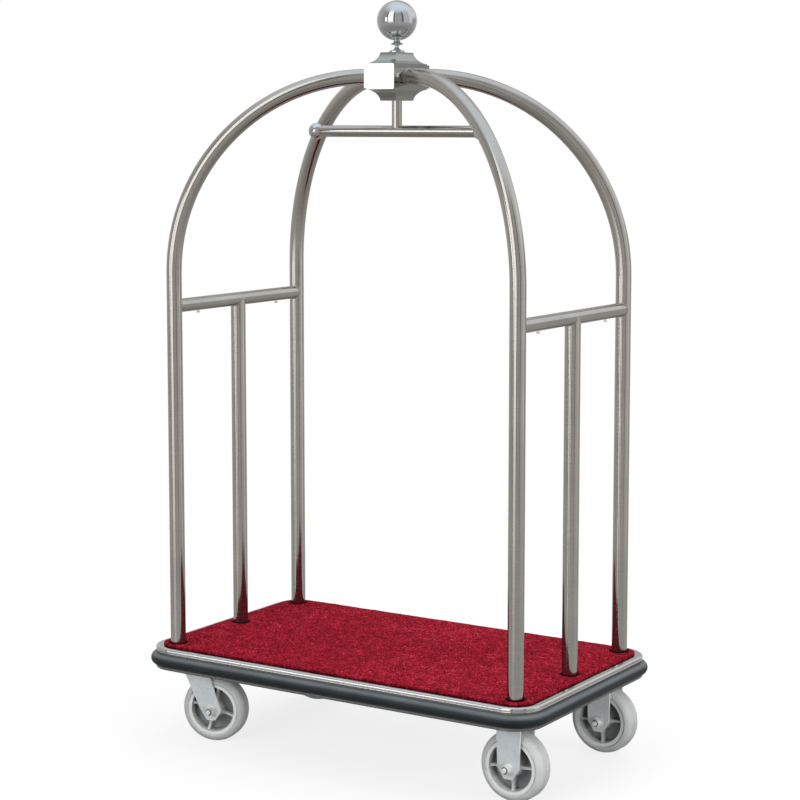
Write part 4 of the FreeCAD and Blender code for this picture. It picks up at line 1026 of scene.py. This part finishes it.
def caster_bolts():
    """Chamfered heads with washers under every caster plate, each with its shank."""
    shank_top = BOLT_TOP_Z - CASTER_PLATE_Z
    rings = [
        (ring_of(PLATE_WASHER_HOLE, PLATE_WASHER_RADIUS, 0.0, -PLATE_WASHER_THICK), 0),
        (hex_rings(-PLATE_WASHER_THICK, -PLATE_HEAD_END, PLATE_FLAT, 0.0007), 0),
        ([(shank_top, None, CASTER_BOLT - 0.0008), (shank_top - 0.0008, None, CASTER_BOLT),
          (-0.001, None, CASTER_BOLT)], 0),
    ]
    verts, faces, _ = fastener(rings)
    shells = []
    for x, row, a, b in itertools.product((SWIVEL_X, RIGID_X), (-1, 1), (-1, 1), (-1, 1)):
        spot = Vector((x + a * BOLT_X, row * CASTER_Y + b * BOLT_Y, CASTER_PLATE_Z))
        move = (Matrix.Translation(spot) @ Matrix.Rotation(math.radians(90), 4, "X")
                @ Matrix.Rotation(0.4 * a + 0.9 * b, 4, "Y"))
        shells.append(([move @ Vector(point) for point in verts], faces))
    return joined("caster_bolts", shells, bright_zinc, 30)


# ---- dressing

HUB_EDGE, PRESSING_EDGE = 0.0005, 0.0006


def soften(node, width):
    """A small rounded edge on a CAD node, from a modifier, so that its edges catch light."""
    bevel = NODES[node].modifiers.new("edge", "BEVEL")
    bevel.width = width
    bevel.segments = 2
    bevel.limit_method = "ANGLE"
    bevel.angle_limit = math.radians(35)
    bevel.harden_normals = True


def give(node, material):
    """A CAD node's one material."""
    obj = NODES[node]
    if not obj.material_slots:
        obj.data.materials.append(material)
    for place in obj.material_slots:
        place.material = material


SLOT_MATERIAL = {
    "tube_steel": tube_upright, "polished_steel": mirror_steel, "trim": trim_metal,
    "bumper_rubber": rubber_material(), "plywood": plywood_material(),
    "frame_paint": paint_material(), "zinc_plate": zinc_plate_material(),
    "fasteners": bright_zinc,
}
for node, slot in SLOT_OF.items():
    if slot in SLOT_MATERIAL:
        give(node, SLOT_MATERIAL[slot])
for node in NODES:
    if node.startswith("arch_tube"):
        give(node, tube_arch)
    elif node.startswith(("side_rail", "rail_stubs", "rail_joiners")):
        give(node, tube_across)
    elif node == "hanger_bar":
        give(node, tube_along)
    elif node.startswith("hub_"):
        give(node, hub_steel)

carpet = carpet_piece()
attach(carpet, "root")
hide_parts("carpet")

nylon = nylon_material()
for row in ROWS:
    for side in ("left", "right"):
        wheel = f"{row}_{side}"
        centre, turn = axle_spot(side, row)
        give(f"tyre_{wheel}", tyre_material(wheel, centre, turn))
        core = core_piece(f"moulded_core_{wheel}", side, row,
                          core_material(wheel, centre, turn))
        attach(core, f"wheel_{wheel}")
        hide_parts(f"wheel_core_{wheel}")
    bolt = axle_fasteners(f"axle_fastener_{row}_left", [axle_spot("left", row)],
                          [bright_zinc, nylon])
    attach(bolt, f"swivel_{row}")
    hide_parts(f"axle_bolt_{row}_left", f"axle_nut_{row}_left")
bolts = axle_fasteners("axle_fasteners_right", [axle_spot("right", row) for row in ROWS],
                       [bright_zinc, nylon])
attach(bolts, "root")
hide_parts("axle_bolts_right", "axle_nuts_right")

for piece, slot in ((cage_welds(), "tube_steel"), (arch_collars(), "polished_steel"),
                    (caster_bolts(), "fasteners")):
    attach(piece, "root")
    if slot == "fasteners":
        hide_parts("caster_mount_bolts")

for node in ("hub_block", "hub_top_cap", "hub_bottom_cap"):
    soften(node, HUB_EDGE)
for node in NODES:
    if node.startswith(("rigid_bracket", "swivel_fork", "swivel_plate")):
        soften(node, PRESSING_EDGE)


# ---- stage, light and camera

FLOOR_RADIUS, FLOOR_GAP = 30.0, 0.0004


def floor():
    """A wide pale floor that turns into the white surround further out."""
    g = Graph("studio_floor", Roughness=0.9)
    x, y, _ = g.split(g.place)
    away = g.length(g.join(x, y, 0.0))
    speck = g.noise(g.at_scale(3.0), 3.0)
    g.set("Base Color", g.mix(speck, (0.90, 0.90, 0.895, 1), (0.93, 0.93, 0.925, 1)))
    whiteness = g.fade(away, 0.5, 2.0, 0.80, 1.0)
    blend = g.node("MixShader", {0: whiteness, 1: g.shader.outputs[0],
                                 2: g.node("Emission").outputs[0]})
    g.tree.links.new(blend.outputs[0], g.output.inputs["Surface"])
    bpy.ops.mesh.primitive_circle_add(vertices=128, radius=FLOOR_RADIUS, fill_type="NGON",
                                      location=(0, 0, -FLOOR_GAP))
    obj = bpy.context.object
    obj.name = "studio_floor"
    obj.data.materials.append(g.material)
    obj.visible_glossy = False
    obj.visible_diffuse = False


# the room seen in polished metal: brightness by compass direction, 0 at -Y, + towards +X
ROOM = [(-180, 0.52), (-150, 0.44), (-128, 0.62), (-112, 0.62), (-104, 0.46), (-64, 0.44),
        (-50, 0.32), (-31, 0.42), (-29, 0.06), (-23, 0.06), (-21, 1.42), (10, 1.42),
        (13, 0.12), (19, 0.12), (22, 0.50), (30, 0.42), (36, 0.34), (44, 0.46), (52, 0.38),
        (61, 0.42), (63, 0.12), (71, 0.12), (73, 0.54), (98, 0.56), (107, 0.48),
        (112, 0.76), (130, 0.76), (136, 0.40), (155, 0.38), (180, 0.52)]
ROOM_TINT = (1.0, 0.985, 0.95, 1)
# one small softbox at hub height: where it is and its half size, by compass and by height
PANEL_AT, PANEL_HALF, PANEL_Z, PANEL_HALF_Z = -33, 5, 0.08, 0.17
PANEL_COLOR = (2.15, 2.20, 2.30, 1)
# one large pale wall above eye level: its compass direction, half width and soft edge
WALL_AT, WALL_HALF, WALL_EDGE = 147, 26, 18
WALL_COLOR = (0.76, 0.78, 0.80, 1)
# plain tones a little below eye level, overhead and underfoot
BELOW_COLOR = (0.41, 0.405, 0.39, 1)
SKY_COLOR = (0.80, 0.86, 0.95, 1)
GROUND_COLOR = (0.27, 0.26, 0.245, 1)
# light that falls on cloth, rubber and plastic: brightness by height, from straight down
SOFT_LIGHT = [(0.0, 0.03), (0.41, 0.07), (0.50, 0.27), (0.62, 0.52), (1.0, 0.78)]


def room_color(g, direction):
    """What polished metal sees in a direction: strips by compass, plain tones by height."""
    x, y, z = g.split(direction)
    compass = g.math("ARCTAN2", x, g.times(y, -1.0))
    turn = g.remap(compass, -math.pi, math.pi)
    strips = g.ramp(turn, [((angle + 180) / 360, (level,) * 3) for angle, level in ROOM])
    room = g.mix(1.0, strips, ROOM_TINT, "MULTIPLY")
    room = g.mix(g.remap(z, -0.09, -0.26), room, BELOW_COLOR)
    off_wall = g.math("ABSOLUTE", g.minus(compass, math.radians(WALL_AT)))
    wall_start, wall_end = math.radians(WALL_HALF + WALL_EDGE), math.radians(WALL_HALF)
    wall = g.times(g.fade(z, 0.06, 0.24), g.fade(off_wall, wall_start, wall_end))
    room = g.mix(wall, room, WALL_COLOR)
    room = g.mix(g.fade(z, 0.55, 0.95), room, SKY_COLOR)
    room = g.mix(g.fade(z, -0.15, -0.75), room, GROUND_COLOR)
    panel = g.times(
        g.math("COMPARE", compass, math.radians(PANEL_AT), math.radians(PANEL_HALF)),
        g.math("COMPARE", z, PANEL_Z, PANEL_HALF_Z))
    return g.mix(panel, room, PANEL_COLOR)


def world():
    """A white surround for the camera, a room of upright strips for the metal, and light
    from above for everything else."""
    scene_world = bpy.data.worlds.new("studio")
    bpy.context.scene.world = scene_world
    scene_world.use_nodes = True
    g = Nodes(scene_world.node_tree)
    direction = g.node("TexCoord").outputs["Generated"]
    height = g.remap(g.split(direction)[2], -1.0, 1.0)
    soft = g.ramp(height, [(at, (level,) * 3) for at, level in SOFT_LIGHT])
    path = g.node("LightPath").outputs
    around = g.mix(path["Is Diffuse Ray"], room_color(g, direction), soft)
    lit = g.node("Background", {0: around, 1: 1.0})
    plain = g.node("Background", {0: (1, 1, 1, 1), 1: 1.0})
    chosen = g.node("MixShader", {0: path["Is Camera Ray"], 1: lit.outputs[0],
                                  2: plain.outputs[0]})
    g.tree.links.new(chosen.outputs[0], g.node("OutputWorld").inputs["Surface"])


def softbox(name, where, size, power, aim=0.8):
    """A soft light aimed at a height on the cart's middle line."""
    data = bpy.data.lights.new(name, "AREA")
    data.shape = "RECTANGLE"
    data.size, data.size_y = size
    data.energy = power
    obj = bpy.data.objects.new(name, data)
    bpy.context.scene.collection.objects.link(obj)
    obj.location = where
    obj.rotation_euler = (Vector((0, 0, aim)) - Vector(where)).to_track_quat("-Z", "Y").to_euler()
    obj.visible_glossy = False


CAMERA_PLACE = (2.7711, -4.3102, 1.5572)
CAMERA_YAW, CAMERA_PITCH = 32.654, -6.314
CAMERA_LENS, CAMERA_SENSOR, CAMERA_SHIFT = 94.14, 36, -0.06


def camera():
    """The camera at the photographed angle: yaw and pitch in degrees, lens in millimetres."""
    data = bpy.data.cameras.new("view")
    data.lens = CAMERA_LENS
    data.shift_y = CAMERA_SHIFT
    data.sensor_width = CAMERA_SENSOR
    obj = bpy.data.objects.new("view", data)
    bpy.context.scene.collection.objects.link(obj)
    obj.location = CAMERA_PLACE
    obj.rotation_euler = (math.radians(90 + CAMERA_PITCH), 0, math.radians(CAMERA_YAW))
    bpy.context.scene.camera = obj


floor()
world()
softbox("key", where=(-0.9, -4.4, 1.7), size=(2.4, 1.8), power=112)
softbox("fill", where=(4.2, 0.2, 1.5), size=(2.0, 2.2), power=62)
softbox("low", where=(3.7, -1.9, 0.42), size=(2.2, 0.7), power=76, aim=0.12)
softbox("top", where=(0.2, 0.3, 4.2), size=(3.0, 2.4), power=32)
softbox("rear", where=(-1.2, 3.6, 2.6), size=(2.6, 2.0), power=40)
camera()
bpy.context.scene.view_settings.view_transform = "Standard"
